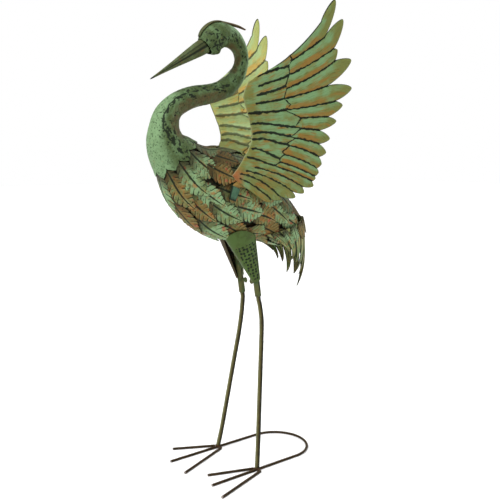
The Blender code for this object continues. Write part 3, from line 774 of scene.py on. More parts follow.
def feather_colours(feather, flat, width, lengths):
    """Where a feather is warm, teal and rusty."""
    row = np.arange(len(lengths))[:, None]
    is_long = row >= COVERT_ROWS
    reach = np.clip((row - COVERT_ROWS) / (FEATHER_ROWS + TIP_ROWS), 0, 1)
    part = ACROSS[None, :] * np.ones_like(lengths)
    cloud = lumps(vec(lengths / 3, part * width, FEATHER_APART * feather), 9.0, 4)
    cloud = cloud + 0.5 * lumps(vec(lengths / 5, part * width, FEATHER_APART * feather), 3.0, 5)
    low_part = smooth_step((feather - 10) / 4)
    warm_long = smooth_step((part - 0.25) / 0.6) * (1 - smooth_step((reach - 0.35) / 0.5))
    warm_long = blend(warm_long, 0.55 - 0.5 * reach, low_part)
    warm_covert = 0.18 + 0.25 * smooth_step((part - 0.4) / 0.3)
    teal_long = 1 - smooth_step((part - 0.30) / 0.3) * 0.8 - smooth_step((reach - 0.5) / 0.3)
    teal = np.where(is_long, blend(teal_long, 0.12, low_part), blend(0.75, 0.35, low_part))
    deep = vec(flat[..., 0], flat[..., 1], FEATHER_APART * feather)
    return {
        "warm": np.where(is_long, warm_long, warm_covert) + 0.75 * cloud,
        "teal": teal * smooth_step(lengths / 34) + 0.6 * lumps(deep, 18.0, 6),
        "rust": 0.85 * smooth_step(1.25 - np.linalg.norm(flat - RUSTY_CORNER, axis=-1) / 24),
    }


def make_wing(side, word):
    """Seventeen embossed feathers in one sheet, small ones over long ones, free at their tips."""
    sheets = Sheets()
    lines = engraved_lines()
    for feather, (flat, width) in enumerate(feather_grids()):
        steps = np.linalg.norm(np.diff(flat[:, WING_COLUMNS // 2], axis=0), axis=1)
        lengths = np.concatenate([[0], np.cumsum(steps)])[:, None] * np.ones_like(ACROSS)
        height, dark = feather_relief(feather, flat, width, lengths, lines)
        out = wing_out(flat[..., 0], flat[..., 1]) + height - RELIEF_MIDDLE
        sheets.add(
            vec(out, flat[..., 0], flat[..., 1]),
            groove=dark,
            rim=bell(lengths, 1.3),
            along=lengths * MM,
            across=(width * ACROSS + FEATHER_APART * feather) * MM,
            tone=feather * 0.37,
            **feather_colours(feather, flat, width, lengths),
        )
    last = len(FEATHER_LINES) - 1
    rows = [[np.array([wing_out(*p), *p]) for p in wing_place(last, np.array([0.0, 0.5]))]]
    mouth = SLEEVE_LENGTH + 3, TAB_WIDTH / 2
    foot = SOCKET_WALL + CLEAR, TAB_WIDTH * TAB_FOOT_SHARE
    for along, half in (mouth, foot):
        rows.append([sleeve_point(along, a * half, TAB_OUT) for a in (-1, 1)])
    sheets.add(np.array(rows), flip=True, rust=0.25, warm=0.7)
    sheets.build(
        word + "_wing_sheet", [WING_OUTER, WING_INNER], [word + "_wing"],
        side=side, weld=True, thickness=SHEET, two_sided=True,
    )


def make_wing_sleeve(side, word):
    """A flat sleeve with rounded edges and a turned lip."""
    sheets = Sheets()
    slot = SHEET + 2 * CLEAR
    near = SLEEVE_OUT + SOCKET_WALL
    turns = np.arange(28) * TAU / 28

    def ring(along, half, low, high):
        """A rounded rectangle round the slot."""
        c = np.sign(np.cos(turns)) * np.abs(np.cos(turns)) ** 0.35
        s = np.sign(np.sin(turns)) * np.abs(np.sin(turns)) ** 0.35
        return [sleeve_point(along, half * a, (low + high) / 2 + (high - low) / 2 * b) for a, b in zip(c, s)]

    top = TAB_WIDTH / 2 + CLEAR + SOCKET_WALL
    foot = TAB_WIDTH * TAB_FOOT_SHARE + CLEAR + SOCKET_WALL
    far = near + slot + SOCKET_WALL
    rings = [
        ring(SOCKET_WALL, foot - SOCKET_WALL, near, near + slot),
        ring(SLEEVE_LENGTH - 0.4, top - SOCKET_WALL, near, near + slot),
        ring(SLEEVE_LENGTH, top - 0.5 * SOCKET_WALL, near - 0.5 * SOCKET_WALL, far - 0.5 * SOCKET_WALL),
        ring(SLEEVE_LENGTH - 0.4, top, SLEEVE_OUT, far),
        ring(SLEEVE_LENGTH * 0.5, (top + foot) / 2, SLEEVE_OUT, far),
        ring(0.5, foot, SLEEVE_OUT, far),
        ring(0, foot - 0.6, SLEEVE_OUT + 0.5, far - 0.5),
    ]
    # Dark outlines and painted shade: near black inside the slot, at the lip and under the sleeve, and down
    # its front and back edges
    edge = np.array([0.9, 0.9, 0.9, 0.4, 0.0, 0.6, 0.9])[:, None]
    sides = 0.9 * smooth_step((np.abs(np.cos(turns)) ** 0.35 - 0.78) / 0.14)[None, :]
    sheets.add(np.array(rings), wrap=True, caps=True, groove=np.maximum(edge, sides))
    sheets.build(word + "_wing_sleeve_tube", [SLEEVE_PAINT], [word + "_wing_sleeve"], side)


# Body feathers

LEAF_ROWS = 7
LOBES = 8
LEAF_STEPS = 84
LEAF_COLUMNS = 13


def leaf_shape(length, half_width, tone, rng):
    """A lobed leaf laid flat: places along and across it, its relief and its paint's values."""
    share = np.linspace(0, 1, LEAF_STEPS)[:, None]
    across = np.linspace(-1, 1, LEAF_COLUMNS)[None, :]
    beat = (share * LOBES + rng.random()) % 1.0
    body = np.clip(0.40 + 2.4 * share, 0, 1) ** 0.7 * np.clip((1 - share) / 0.50, 0, 1) ** 0.8
    lobe = np.sin(math.pi * beat**1.3) ** 0.6
    half = half_width * body * (0.80 + 0.22 * lobe) + 0.3
    side = across * half
    along = share * (length - 4) + 0.60 * np.abs(side) * np.clip((1 - share) * 2, 0, 1)
    from_notch = np.minimum(beat, 1 - beat) * length / LOBES
    outer = smooth_step((np.abs(across) - 0.18) * 2.5)
    rib = bell(side, 0.75) * (share < 0.95)
    cut = bell(from_notch, 1.0) * outer
    vein = bell((beat - 0.5) * length / LOBES, 0.55) * outer
    fold = 2.0 * (1 - np.abs(across)) - 0.6
    curl = rng.uniform(-0.4, 1.4) * across**2 * np.sin(share * math.pi)
    twist = rng.uniform(-0.7, 0.9) * across
    bulge = 0.5 * np.sin(beat * math.pi) * outer
    relief = fold + curl + twist + bulge - 0.9 * rib - 0.6 * cut
    # Painted shadow: a dark band round each leaf's edge, where it meets the leaves beside and under it
    edge = smooth_step((np.abs(across) - 0.82) * 6)
    groove = largest(rib, 0.95 * cut, 0.66 * edge, 0.36 * vein)
    # Painted highlight: light strips beside the rib and across each lobe
    light = bell(np.abs(side) - 1.7, 0.8) + 0.7 * bell(beat - 0.25, 0.12) * outer
    every = np.ones_like(along)
    values = {
        "groove": groove * every,
        "rim": np.clip(light, 0, 1) * (1 - groove) * every,
        "tone": tone * every,
        # Painted shade: each leaf darkens towards its base, which lies under the row in front of it
        "shade": smooth_step((0.42 - share) / 0.36) * every,
        "along": along * MM,
        "across": side * MM,
    }
    return along, side, relief, values


def leaf_grid(start, length, centre_angle, half_width, tone, raised, rng):
    """One leaf on the body's skin: its points and what its paint needs to know."""
    along, across, relief, values = leaf_shape(length, half_width, tone, rng)
    lean = rng.uniform(-0.16, 0.16)
    place = np.minimum(along + start, COLLAR_LENGTH - 3)
    station = station_at(place)
    _, _, depth, width = spine(station)
    lift = blend(LEAF_BASE_LIFT, LEAF_TIP_LIFT, along / length) + LEAF_SHEET / 2 + raised
    reach = np.hypot(width * math.cos(centre_angle), depth * math.sin(centre_angle)) + lift
    angle = centre_angle + (across + lean * along) / reach
    # Leaves along the back are painted dark brown by the same value
    dark_back = smooth_step((math.cos(centre_angle) - 0.15) / 0.5)
    values["shade"] = np.clip(values["shade"] + 0.8 * dark_back, 0, 1)
    return skin(station, angle, lift + relief), values


def make_leaf_row(row):
    """A ring of separate lobed leaves, shingled sideways, some of them laid over the rest."""
    rng = random.Random(40 + row)
    sheets = Sheets()
    start = row * LEAF_SPACING + LEAF_START
    length = min(LEAF_LENGTH, COLLAR_LENGTH - TAIL_BARE - start)
    _, _, depth, width = spine(station_at(start + length / 2))
    girth = TAU * math.sqrt((depth**2 + width**2) / 2)
    leaves = max(8, 2 * round(girth / LEAF_WIDTH / 2))
    for leaf in range(leaves):
        angle = (leaf + 0.5 * (row % 2)) * TAU / leaves + rng.uniform(-0.06, 0.06)
        tone = rng.random() * (0.7 if row == 0 else 1.0)
        half = 0.64 * girth / leaves * rng.uniform(0.9, 1.12)
        raised = rng.uniform(3.0, 4.5) if row and rng.random() < 0.35 else rng.uniform(0, 1.0)
        ahead = rng.uniform(-6, 0) if row else 0.0
        long = length * rng.uniform(0.94, 1)
        points, values = leaf_grid(start + ahead, long, angle, half, tone, raised, rng)
        sheets.add(points, **values)
    sheets.build(
        f"leaf_feathers_{row + 1}", [LEAF_PAINT], [f"leaf_row_{row + 1}"],
        thickness=LEAF_SHEET,
    )


# Neck and head

# The neck's lower edge above the body's skin
NECK_UNDER = LEAF_BASE_LIFT + CAD_LEAF_SHEET + LEAF_RIDGE + CLEAR + 0.9
NECK_SIDES = 120
# The dark line along each side of the neck: stations, and turns from the back
SEAM = ((8.2, 8.6, 9.5, 11.2, 16.0), (1.65, 1.8, 2.2, 2.3, 2.2))
EYE_STATION = 22.65
EYE_TURN = 1.13
NECK_ROWS = 400
TONGUE_ROWS = 16
TONGUES = 10
# Round forms of the head: station, turn, their reach along and around, and their height
HEAD_LOBES = (
    (22.9, 2.35, 0.8, 0.55, 3.2),
    (23.3, 1.3, 0.6, 0.5, 2.4),
    (21.6, 1.5, 0.9, 0.6, 1.5),
    (23.4, 2.9, 0.6, 0.75, 8.0),
)


def from_back(angle):
    """Turns from the back, from 0 to half a turn on both sides."""
    return np.abs((angle + math.pi) % TAU - math.pi)


def head_bump(station, angle):
    """The round cheek, brow and chin."""
    lift = 0.0
    turn = from_back(angle)
    for where, around, long, wide, high in HEAD_LOBES:
        square = ((station - where) / long) ** 2 + ((turn - around) / wide) ** 2
        lift = lift + high * np.exp(-square)
    return lift


def neck_grid(angles, distance):
    """Points from the tongues' tips to the brow, the spine's centres beside them, their stations."""
    under = NECK_UNDER + SHEET / 2 + 0.6 + (LEAF_TIP_LIFT - LEAF_BASE_LIFT) * distance / LEAF_LENGTH
    under[0] -= SHEET
    low = skin(station_at(distance), angles, under)
    stations = np.linspace(COLLAR_STATION, BROW_STATION - 0.02, NECK_ROWS)[1:, None]
    lift = (NECK_UNDER + SHEET) * np.clip(1 - (stations - COLLAR_STATION) / 2, 0, 1)
    high = skin(stations, angles, lift + head_bump(stations, angles))
    above = np.broadcast_to(stations, high.shape[:2])
    station = np.vstack([COLLAR_STATION - distance / 33, above])
    centre = np.vstack([spine(station_at(distance))[0], np.broadcast_to(spine(stations)[0], high.shape)])
    return np.vstack([low, high]), centre, station


def dab_band(station, turns, seam_turn, is_low, is_head):
    """Where dark dabs may lie: a band on each side, which moves round the neck as it rises."""
    low = smooth_step((turns - seam_turn + 1.15) / 0.3) * smooth_step((seam_turn + 0.25 - turns) / 0.3)
    bend = smooth_step((turns - 1.25) / 0.3)
    low = blend(low, bend, smooth_step((station - 11.0) / 1.2))
    high = smooth_step((turns - 0.85) / 0.3) * smooth_step((2.3 - turns) / 0.3)
    head = smooth_step((turns - 0.25) / 0.3) * smooth_step((2.7 - turns) / 0.3)
    return blend(blend(high, low, is_low), head, is_head)


def neck_dabs(points, angles, station, turns, seam_turn, is_low, is_head):
    """Dark dabs in slanted rows beside the seam, and small ones on the lower neck."""
    around = turns * spine(np.maximum(station, 0))[2]
    slanted = vec(station * 15 + around * 0.4, around, np.where(angles < math.pi, 50, 90))
    slanted = slanted + 2.5 * np.stack([lumps(points, 6.0, k) for k in (1, 2, 3)], -1)
    mask = smooth_step((lumps(points, 13, 3) + 0.30) * 3)
    near_seam = bell(turns - blend(1.95, seam_turn - 0.1, is_low), 0.30)
    collar = smooth_step((9.6 - station) / 0.8)
    bend = smooth_step((station - 11.5) / 1.0) * smooth_step(17.0 - station)
    more = 0.10 * near_seam + 0.08 * collar + 0.10 * bend
    band = dab_band(station, turns, seam_turn, is_low, is_head)
    dark = smooth_step((dents(slanted, 5.5, 5) - 0.12 + more) * 5) * band * np.maximum(mask, near_seam)
    dark = dark * (1 - 0.6 * smooth_step((8.6 - station) * 1.5) * smooth_step((turns - 2.0) * 3))
    small = smooth_step((dents(points, 6.5, 9) - 0.36) * 5) * smooth_step((lumps(points, 16, 6) + 0.35) * 3)
    return np.maximum(dark, 0.8 * small * smooth_step(12.5 - station))


def make_neck():
    """A hammered tube that ends below in pointed tongues and above in the head."""
    angles = (np.arange(NECK_SIDES) * TAU / NECK_SIDES)[None, :]
    place = angles / TAU * TONGUES
    tongue = (1 - np.abs(2 * (place % 1.0) - 1)) ** 0.8
    is_odd = np.floor(place).astype(int) % 2 == 1
    share = np.concatenate([[1.0], np.linspace(1, 0, TONGUE_ROWS)])[:, None]
    distance = TONGUE * (0.10 + 0.95 * tongue * np.where(is_odd, 0.72, 1.0)) * share
    points, centre, station = neck_grid(angles, distance)
    turns = np.broadcast_to(from_back(angles), station.shape)
    is_low = smooth_step((15.8 - station) * 1.2)
    is_head = smooth_step((station - 20.6) * 1.4)
    seam_turn = np.interp(station, *SEAM)
    seam = bell((turns - seam_turn - 0.04 * np.sin(station * 9)) * 24, 1.5)
    seam = seam * smooth_step((station - 8.0) * 2) * smooth_step((12.4 - station) * 1.5)
    cheek = np.hypot((station - 23.4) / 0.85, (turns - 2.75) / 0.75)
    cheek_line = 0.95 * bell(cheek - 1, 0.10) * (station < 23.8)
    eye = np.hypot((station - EYE_STATION) * 17, (turns - EYE_TURN) * 22)
    eye_line = bell(eye - 4.5, 1.7) * smooth_step((lumps(points, 5, 8) + 0.25) * 4)
    tongue_edge = np.zeros(station.shape)
    tongue_edge[: TONGUE_ROWS + 1] = 0.8 * smooth_step((0.20 - tongue) / 0.16) * (share > 0.3)
    tongue_edge[:2] = 0.9
    dabs = neck_dabs(points, angles, station, turns, seam_turn, is_low, is_head)
    groove = np.clip(largest(dabs, seam, cheek_line, eye_line, tongue_edge), 0, 1)
    hammered = dents(points, 9.0, 2)
    bent_back = smooth_step(station - 15.5) * smooth_step(20.3 - station)
    notches = smooth_step((0.5 - turns) / 0.3) * bent_back * np.sin(station * 18 / 6.5 * TAU * 0.5) * 0.7
    outward = points - centre
    outward /= np.linalg.norm(outward, axis=-1)[..., None]
    relief = -0.9 * hammered - 0.8 * groove * (1 - 0.5 * is_head) + notches + bell(eye, 3.0)
    brown_low = smooth_step((seam_turn - 0.35 - turns) / 0.35) * is_low * smooth_step((station - 7.9) / 0.8)
    brown_high = smooth_step((turns - 2.1) / 0.4) * smooth_step(station - 16.2) * smooth_step(21.2 - station)
    # Pale on the breast and the nape, partly a painted highlight where the light falls, and less pale in the
    # hammered dents as painted shade
    breast = smooth_step((turns - 1.9) / 0.6) * smooth_step((12.2 - station) / 1.0)
    nape = smooth_step((1.5 - turns) / 0.5) * smooth_step(station - 16.2) * (1 - is_head)
    sheets = Sheets()
    sheets.add(
        points + outward * relief[..., None],
        wrap=True,
        flip=True,
        groove=groove,
        back=np.maximum(brown_low, brown_high),
        pale=np.maximum(breast, nape) * (1 - 0.35 * hammered),
    )
    sheets.build("neck_and_head_skin", [NECK_PAINT], ["neck_and_head"])


def make_beak():
    """A long folded cone with a mouth seam along each side."""
    sheets = Sheets()
    brow, direction, depth, width = spine(float(BROW_STATION))
    start = brow + direction * CLEAR
    tip = np.array([0, *BEAK_TIP], float)
    share = np.concatenate([np.linspace(0, 0.9, 46), np.linspace(0.9, 1, 12)[1:]])
    knots = np.array([(0, 1), (0.12, 0.93), (0.3, 0.74), (0.55, 0.46), (0.8, 0.22), (0.97, 0.09), (1, 0.02)])
    size = np.interp(share, knots[:, 0], knots[:, 1])[:, None]
    turns = (np.arange(32) * TAU / 32)[None, :]
    seam = bell(np.abs(np.cos(turns)) - 1, 0.02)
    radius = depth * 0.94 * size - 0.5 * seam * size
    up = np.cross(direction, (1, 0, 0))
    middle = start + (tip - start) * share[:, None]
    points = (
        middle[:, None, :]
        + vec(1, 0, 0) * (np.cos(turns) * radius * width / depth)[..., None]
        + up * (np.sin(turns) * radius)[..., None]
    )
    fold = 0.55 * bell(np.abs(np.cos(turns - 0.55)) - 1, 0.02)
    end = smooth_step((share[:, None] - 0.9) * 14)
    dark = largest(0.9 * seam, fold, end)
    sheets.add(points, wrap=True, caps=True, groove=dark, shade=0.0)
    sheets.build("beak_cone", [BEAK_PAINT], ["beak"])


def make_crest():
    """A strip over the crown, bent down at both edges and free behind the head."""
    sheets = Sheets()
    station = np.linspace(23.75, 21.4, 26)[:, None]
    across = np.linspace(-1, 1, 9)[None, :]
    share = np.interp(station, (21.4, 21.8, 22.3, 22.8, 23.3, 23.75), (0.9, 0.95, 1, 1, 0.75, 0.4))
    turn = across * share * CREST_WIDTH / 2 / spine(station)[3]
    lift = SHEET / 2 + CLEAR + 0.2 + 1.2 * (1 - across**2) + head_bump(station, turn)
    on_head = skin(station, turn, lift)
    path = through([on_head[-6, 4], on_head[-1, 4], (0, 2, 883), (0, 23, 877)], 10)[11:]
    width = np.linspace(0.88, 0.10, len(path))[:, None] ** 0.7
    free = path[:, None, :] + vec(across * width * CREST_WIDTH / 2, 0, -4.6 * width * across**2)
    points = np.vstack([on_head, free])
    brown = np.concatenate([np.linspace(0, 0.3, 26), np.linspace(0.3, 0.9, len(path))])[:, None]
    edge = 0.4 * smooth_step((np.abs(across) - 0.8) * 6) * np.ones((len(points), 1))
    sheets.add(points, rim=brown / 0.7, groove=edge)
    sheets.build("crest_strip", [CREST_PAINT], ["crest"], thickness=1.5 * SHEET)


# Tail

# Leaves over the blades' bases: their start is a share of a blade, the rest are millimetres
TAIL_LEAF_START = -0.04
TAIL_LEAVES = 13
TAIL_LEAF_LENGTH = 40
TAIL_LEAF_HALF = 11.5
TAIL_LEAF_RAISED = 1.5


def tail_point(across, along):
    """Across runs from -1 to 1 round the body's end, along from 0 at the base to 1 at the tips."""
    outer = np.abs(across)
    turn = np.sign(across) * TAIL_TURN * outer**0.7
    lift = LEAF_TIP_LIFT + CAD_LEAF_SHEET + LEAF_RIDGE + SHEET / 2 + CLEAR + 1.2
    base = skin(station_at(337 - 87 * outer**1.5), turn, lift)
    out = np.sin(across * math.pi / 2)
    bend = vec(40 * out, 205 - 93 * outer, 405 + 38 * outer)
    tip = vec(22 * out, 163 - 52 * outer, 352 + 85 * outer)
    along = along[..., None]
    return base * (1 - along) ** 2 + bend * (2 * along * (1 - along)) + tip * along**2


def tail_leaf(middle, tone, rng):
    """A lobed leaf over the base of a blade: its points and what its paint needs to know."""
    one_long = np.linalg.norm(np.diff(tail_point(middle, np.linspace(0, 1, 20)), axis=0), axis=1).sum()
    length = TAIL_LEAF_LENGTH * rng.uniform(0.9, 1.1)
    flat, side, relief, values = leaf_shape(length, TAIL_LEAF_HALF, tone, rng)
    along = np.clip(TAIL_LEAF_START + rng.uniform(-0.02, 0.02) + flat / one_long, 0, 1)
    near = tail_point(middle - 0.02, along), tail_point(middle + 0.02, along)
    one_wide = np.linalg.norm(near[1] - near[0], axis=-1) / 0.04
    where = middle + (side + rng.uniform(-0.1, 0.1) * flat) / one_wide
    ahead = tail_point(where, along + 0.01) - tail_point(where, along - 0.01)
    beside = tail_point(where + 0.01, along) - tail_point(where - 0.01, along)
    normal = np.cross(beside, ahead)
    normal /= np.linalg.norm(normal, axis=-1)[..., None]
    normal *= np.sign((normal * vec(np.sign(middle) * 0.5, 1, 0)).sum(-1))[..., None]
    lift = TAIL_LEAF_RAISED + relief + 2.5 * flat / TAIL_LEAF_LENGTH
    return tail_point(where, along) + normal * lift[..., None], values


def make_tail():
    """Narrow ribbed blades hanging under the end of the body, with leaves over their bases."""
    sheets = Sheets()
    rng = random.Random(7)
    share = np.linspace(0, 1, 44)[:, None]
    across = np.linspace(-1, 1, 11)[None, :]
    width = np.interp(share, (0, 0.38, 0.6, 0.85, 1), (1.04, 1.0, 0.80, 0.42, 0.02))
    ridge = 1.4 * (1 - np.abs(across)) - 0.6 * bell(across, 0.12) + 0.6 * across
    rib = bell(across, 0.14) * smooth_step((0.9 - share) * 5) * 0.8
    for blade in range(TAIL_BLADES):
        middle = (blade + 0.5) * 2 / TAIL_BLADES - 1
        where = np.clip(middle + across * width / TAIL_BLADES, -1, 1)
        along = share * (1 - 0.12 * ((blade + 1) % 2) * share) * np.ones_like(across)
        tone = rng.random()
        sheets.add(
            tail_point(where, along) + vec(0, 1, 0.1) * (ridge * np.ones_like(share))[..., None],
            groove=np.maximum(rib, 0.8 * smooth_step((np.abs(across) - 0.66) * 4)),
            # Painted highlight: a light stripe down one side of each blade's ridge
            rim=bell(across - 0.35, 0.2) * (1 - share),
            shade=smooth_step((share - 0.50) / 0.35) * (0.4 + 0.55 * tone) * np.ones_like(across),
            along=along * 0.1,
            across=across * 0.01,
            tone=tone,
        )
    for leaf in range(TAIL_LEAVES):
        middle = ((leaf + 0.5) * 2 / TAIL_LEAVES - 1) * 0.97
        tone = rng.random()
        points, values = tail_leaf(middle, tone, rng)
        sheets.add(points, slot_index=1, **values)
    sheets.build(
        "tail_blades", [TAIL_PAINT, LEAF_PAINT], ["tail_feathers"], thickness=SHEET * 0.7
    )


# Legs, thighs and feet


def socket_mouth():
    mouth = np.array(SOCKET_LINE[0], float)
    upward = np.array(SOCKET_LINE[1], float) - mouth
    return mouth, upward / np.linalg.norm(upward)


def make_leg(side, word):
    mouth, upward = socket_mouth()
    ankle = LOOP_SPREAD / 2
    shin = np.array(LEG_LINE[0], float)
    shin[0] = blend(ankle, LEG_LINE[1][0], 0.3)
    foot = np.array([ankle, 0, 2 * ROD_DOWN + CLEAR + 0.9])
    line = through([foot, shin, *LEG_LINE[1:], mouth - upward * LEG_ROD], 12)
    line = np.vstack([line, mouth + upward * LEG_ENTRY])
    line, lengths = resample(line, 3)
    wobble = 1 + 0.012 * np.sin(lengths / 9)[:, None] * np.ones(20)
    points = tube(line, LEG_ROD / 2 * wobble, 20)
    sheets = Sheets()
    # Painted shade: the leg's back side is brown and near black; painted highlight: a cream strip down its
    # front
    back = smooth_step((points[..., 1] - line[:, None, 1] + 3.0) / 2.8)
    front = smooth_step((line[:, None, 1] - points[..., 1] - 3.4) / 1.2)
    sheets.add(points, wrap=True, caps=True, shade=0.9 * back, groove=0.8 * back, rim=0.35 * front)
    sheets.build(word + "_leg_rod", [LEG_PAINT], [word + "_leg"], side)


def make_leg_socket(side, word):
    mouth, upward = socket_mouth()
    deep = mouth + upward * (LEG_ENTRY + BORE_SPARE + SOCKET_WALL)
    upper = through([deep, *SOCKET_LINE[2:]], 8)
    kept = [p for p in upper if not inside_skin(p + np.array([0, 0, LEG_ROD]), LEAF_TIP_LIFT)]
    line = np.vstack([np.linspace(mouth + upward * 0.5, deep, 12), kept[1:]])
    bore = (LEG_ROD / 2 + CLEAR) / math.cos(math.pi / TUBE_SIDES)
    outer = tube(line, bore + SOCKET_WALL * 0.95, 28)
    inner = tube(np.array([mouth + upward * LEG_ENTRY, mouth + upward * 0.5, mouth]), bore, 28)
    lip = tube(np.array([mouth, mouth + upward]), bore + SOCKET_WALL * 0.6, 28)[:1]
    sheets = Sheets()
    rings = np.vstack([inner, lip, outer])
    # Painted shade: dark patches, kept to the socket's back side
    behind = smooth_step((rings[..., 1] - rings.mean(1)[:, None, 1] + 2.0) / 3)
    dark = smooth_step((lumps(rings, 9.0, 2) - 0.02) * 6) * behind
    sheets.add(rings, wrap=True, caps=True, groove=0.75 * dark)
    sheets.build(word + "_leg_socket_tube", [SOCKET_PAINT], [word + "_leg_socket"], side)


THIGH_COLUMNS = 100
THIGH_ROWS = 110
DIMPLE_SPACING = 7.0
DIMPLE_RADIUS = 3.0


def make_thigh(side, word):
    """Half a cone of sheet with rows of punched dimples, open towards the other leg."""
    low, high = (np.array(p, float) for p in THIGH_LINE)
    axis = (high - low) / np.linalg.norm(high - low)
    back = np.cross(axis, (1, 0, 0))
    front = THIGH_FRONT[word]

    def rim(turn, share):
        depth = blend(THIGH_FOOT, THIGH_DEPTH, share * np.where(np.sin(turn) < 0, front, 1.0))
        width = blend(THIGH_FOOT, THIGH_WIDTH, share)
        ray = vec(1, 0, 0) * (np.cos(turn) * width)[..., None] + back * (np.sin(turn) * depth)[..., None]
        return low + (high - low) * np.asarray(share)[..., None] + ray

    turns = np.linspace(-1, 1, THIGH_COLUMNS) * (math.pi - THIGH_OPENING)
    reaches = []
    for turn in turns:
        reach = 0.0
        while reach < 1 and not inside_skin(rim(turn, reach + 0.01), LEAF_TIP_LIFT + CAD_LEAF_SHEET + SHEET):
            reach += 0.01
        reaches.append(reach)
    reaches = np.convolve(np.pad(reaches, 3, mode="edge"), np.ones(7) / 7, mode="valid")
    share = np.linspace(0, 1, THIGH_ROWS)[:, None] * reaches[None, :]
    turn = turns[None, :] * np.ones_like(share)
    points = rim(turn, share)
    height = share * np.linalg.norm(high - low)
    radius = blend(THIGH_FOOT, (THIGH_DEPTH + THIGH_WIDTH) / 2, share)
    arc = turn * radius
    row = np.round(height / DIMPLE_SPACING)
    column = np.round(arc / DIMPLE_SPACING)
    slip = 0.9 * np.sin(row * 2.3 + column * 4.1), 0.9 * np.sin(row * 3.7 + column * 1.9)
    away = np.hypot(arc - column * DIMPLE_SPACING + slip[0], height - row * DIMPLE_SPACING + slip[1])
    away = away + 0.6 * lumps(points, 3.0, 2)
    mask = (np.abs(arc) < radius * 1.75 - 2) * (arc > -1.2 * radius) * (height > 5) * (height < 84)
    dimple = smooth_step((DIMPLE_RADIUS - away) / 0.9) * mask
    outward = points - (low + (high - low) * share[..., None])
    outward /= np.linalg.norm(outward, axis=-1)[..., None]
    points = points - outward * (0.9 * dimple)[..., None]
    sheets = Sheets()
    rim_line = bell((np.abs(turn) - (math.pi - THIGH_OPENING)) * radius, 1.2)
    front_shade = 0.9 * smooth_step((-turn - 0.7) / 0.4) * (word == "right")
    sheets.add(points, groove=dimple, rim=rim_line, shade=front_shade)
    sheets.build(
        word + "_thigh_sheet", [THIGH_PAINT, THIGH_INSIDE], [word + "_thigh"],
        side=side, thickness=SHEET, two_sided=True,
    )


def ribbed_rod(line):
    """A rod along a line with a rib each side and slanted ribs between, flat on the floor."""
    line, lengths = resample(line, 0.75)
    sides = 20
    turns = (np.arange(sides) * TAU / sides)[None, :]
    half = turns < math.pi
    beat = (lengths[:, None] / 4.4 + np.where(half, 0, 0.5) + 0.12 * np.cos(turns)) % 1.0
    crescent = np.sin(turns) ** 2
    ribs = 0.50 * bell(beat - 0.5, 0.17) * np.sqrt(crescent)
    seams = 0.40 * bell(np.sin(turns), 0.22)
    radius = FOOT_ROD / 2 - 0.55 + np.maximum(ribs, seams)
    end = np.minimum(lengths, lengths[-1] - lengths)[:, None]
    radius = radius - 0.4 * bell(end, 0.7)
    points = tube(line, radius, sides)
    points[..., 2] = np.maximum(points[..., 2], 0.0)
    valley = 0.7 * (1 - np.clip(np.maximum(ribs, seams) / 0.35, 0, 1))
    cut = bell(end, 0.9) * np.ones_like(turns)
    return points, {"groove": valley * (1 - cut), "cut": 0.4 * cut, "rim": np.clip(ribs / 0.4, 0, 1)}


def make_feet():
    radius = LOOP_SPREAD / 2
    turns = np.linspace(0, math.pi, 90)
    bend = vec(radius * np.cos(turns), LOOP_BACK + radius * np.sin(turns), ROD_DOWN)
    ends = [np.array([[radius * s, -MIDDLE_TOES[w], ROD_DOWN]]) for w, s in (("left", 1), ("right", -1))]
    points, values = ribbed_rod(np.vstack([ends[0], bend, ends[1]]))
    sheets = Sheets()
    sheets.add(points, wrap=True, caps=True, **values)
    sheets.build("foot_loop_rod", [FOOT_PAINT], ["foot_loop"])
    for name, pair in SIDE_TOES.items():
        ankle = radius * (1 if name.startswith("left") else -1)
        line = np.array([[ankle + x, y, ROD_DOWN] for x, y in pair])
        points, values = ribbed_rod(line)
        sheets = Sheets()
        sheets.add(points, wrap=True, caps=True, **values)
        sheets.build(name + "_rod", [FOOT_PAINT], [name])


# Lumps of weld: place out from the ankle, back and up, and their size
ANKLE_LUMPS = ((0, -0.5, 5.0, 5.6), (-4, -2.5, 3.6, 3.4), (5.5, 0, 3.6, 3.4))


def make_ankle_weld(side, word):
    """Lumpy weld metal where the toes, the loop and the leg meet."""
    sheets = Sheets()
    around = (np.arange(20) * TAU / 20)[None, :]
    up = np.linspace(-1.35, 1.35, 12)[:, None]
    for out, y, z, size in ANKLE_LUMPS:
        x = LOOP_SPREAD / 2 + out
        ball = vec(np.cos(around) * np.cos(up), np.sin(around) * np.cos(up), 0.62 * np.sin(up) + 0 * around)
        ball = ball * (size * (1 + 0.16 * lumps(ball * size + x, 3.0, 4)))[..., None] + np.array([x, y, z])
        ball[..., 2] = np.maximum(ball[..., 2], 0.3)
        sheets.add(ball, wrap=True, caps=True, groove=0.25)
    sheets.build(word + "_ankle_weld", [FOOT_PAINT], [], side)


# The body shell takes the near-black painted shade; the thumbscrews take the socket's paint
for material_node in ("body_shell", "left_thumbscrew", "right_thumbscrew"):
    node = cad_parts[material_node]
    node.data.materials.clear()
    node.data.materials.append(SHELL_PAINTED_SHADE if material_node == "body_shell" else SOCKET_PAINT)

for sign, word in ((1, "left"), (-1, "right")):
    make_wing(sign, word)
    make_wing_sleeve(sign, word)
    make_leg(sign, word)
    make_leg_socket(sign, word)
    make_thigh(sign, word)
    make_ankle_weld(sign, word)
for number in range(LEAF_ROWS):
    make_leaf_row(number)
make_neck()
make_beak()
make_crest()
make_tail()
make_feet()

# Floor, light and camera

CAMERA_REACH = 1.360
CAMERA_AZIMUTH = math.radians(53.75)
CAMERA_ELEVATION = math.radians(25.11)
CAMERA_PITCH = math.radians(8.06)
CAMERA_YAW = math.radians(-1.16)
FOCAL_PIXELS = 680
PHOTO_PIXELS = 500
SENSOR = 36
FLOOR_HALF = 12
LIGHT_TARGET = Vector((0, 0, 0.5))


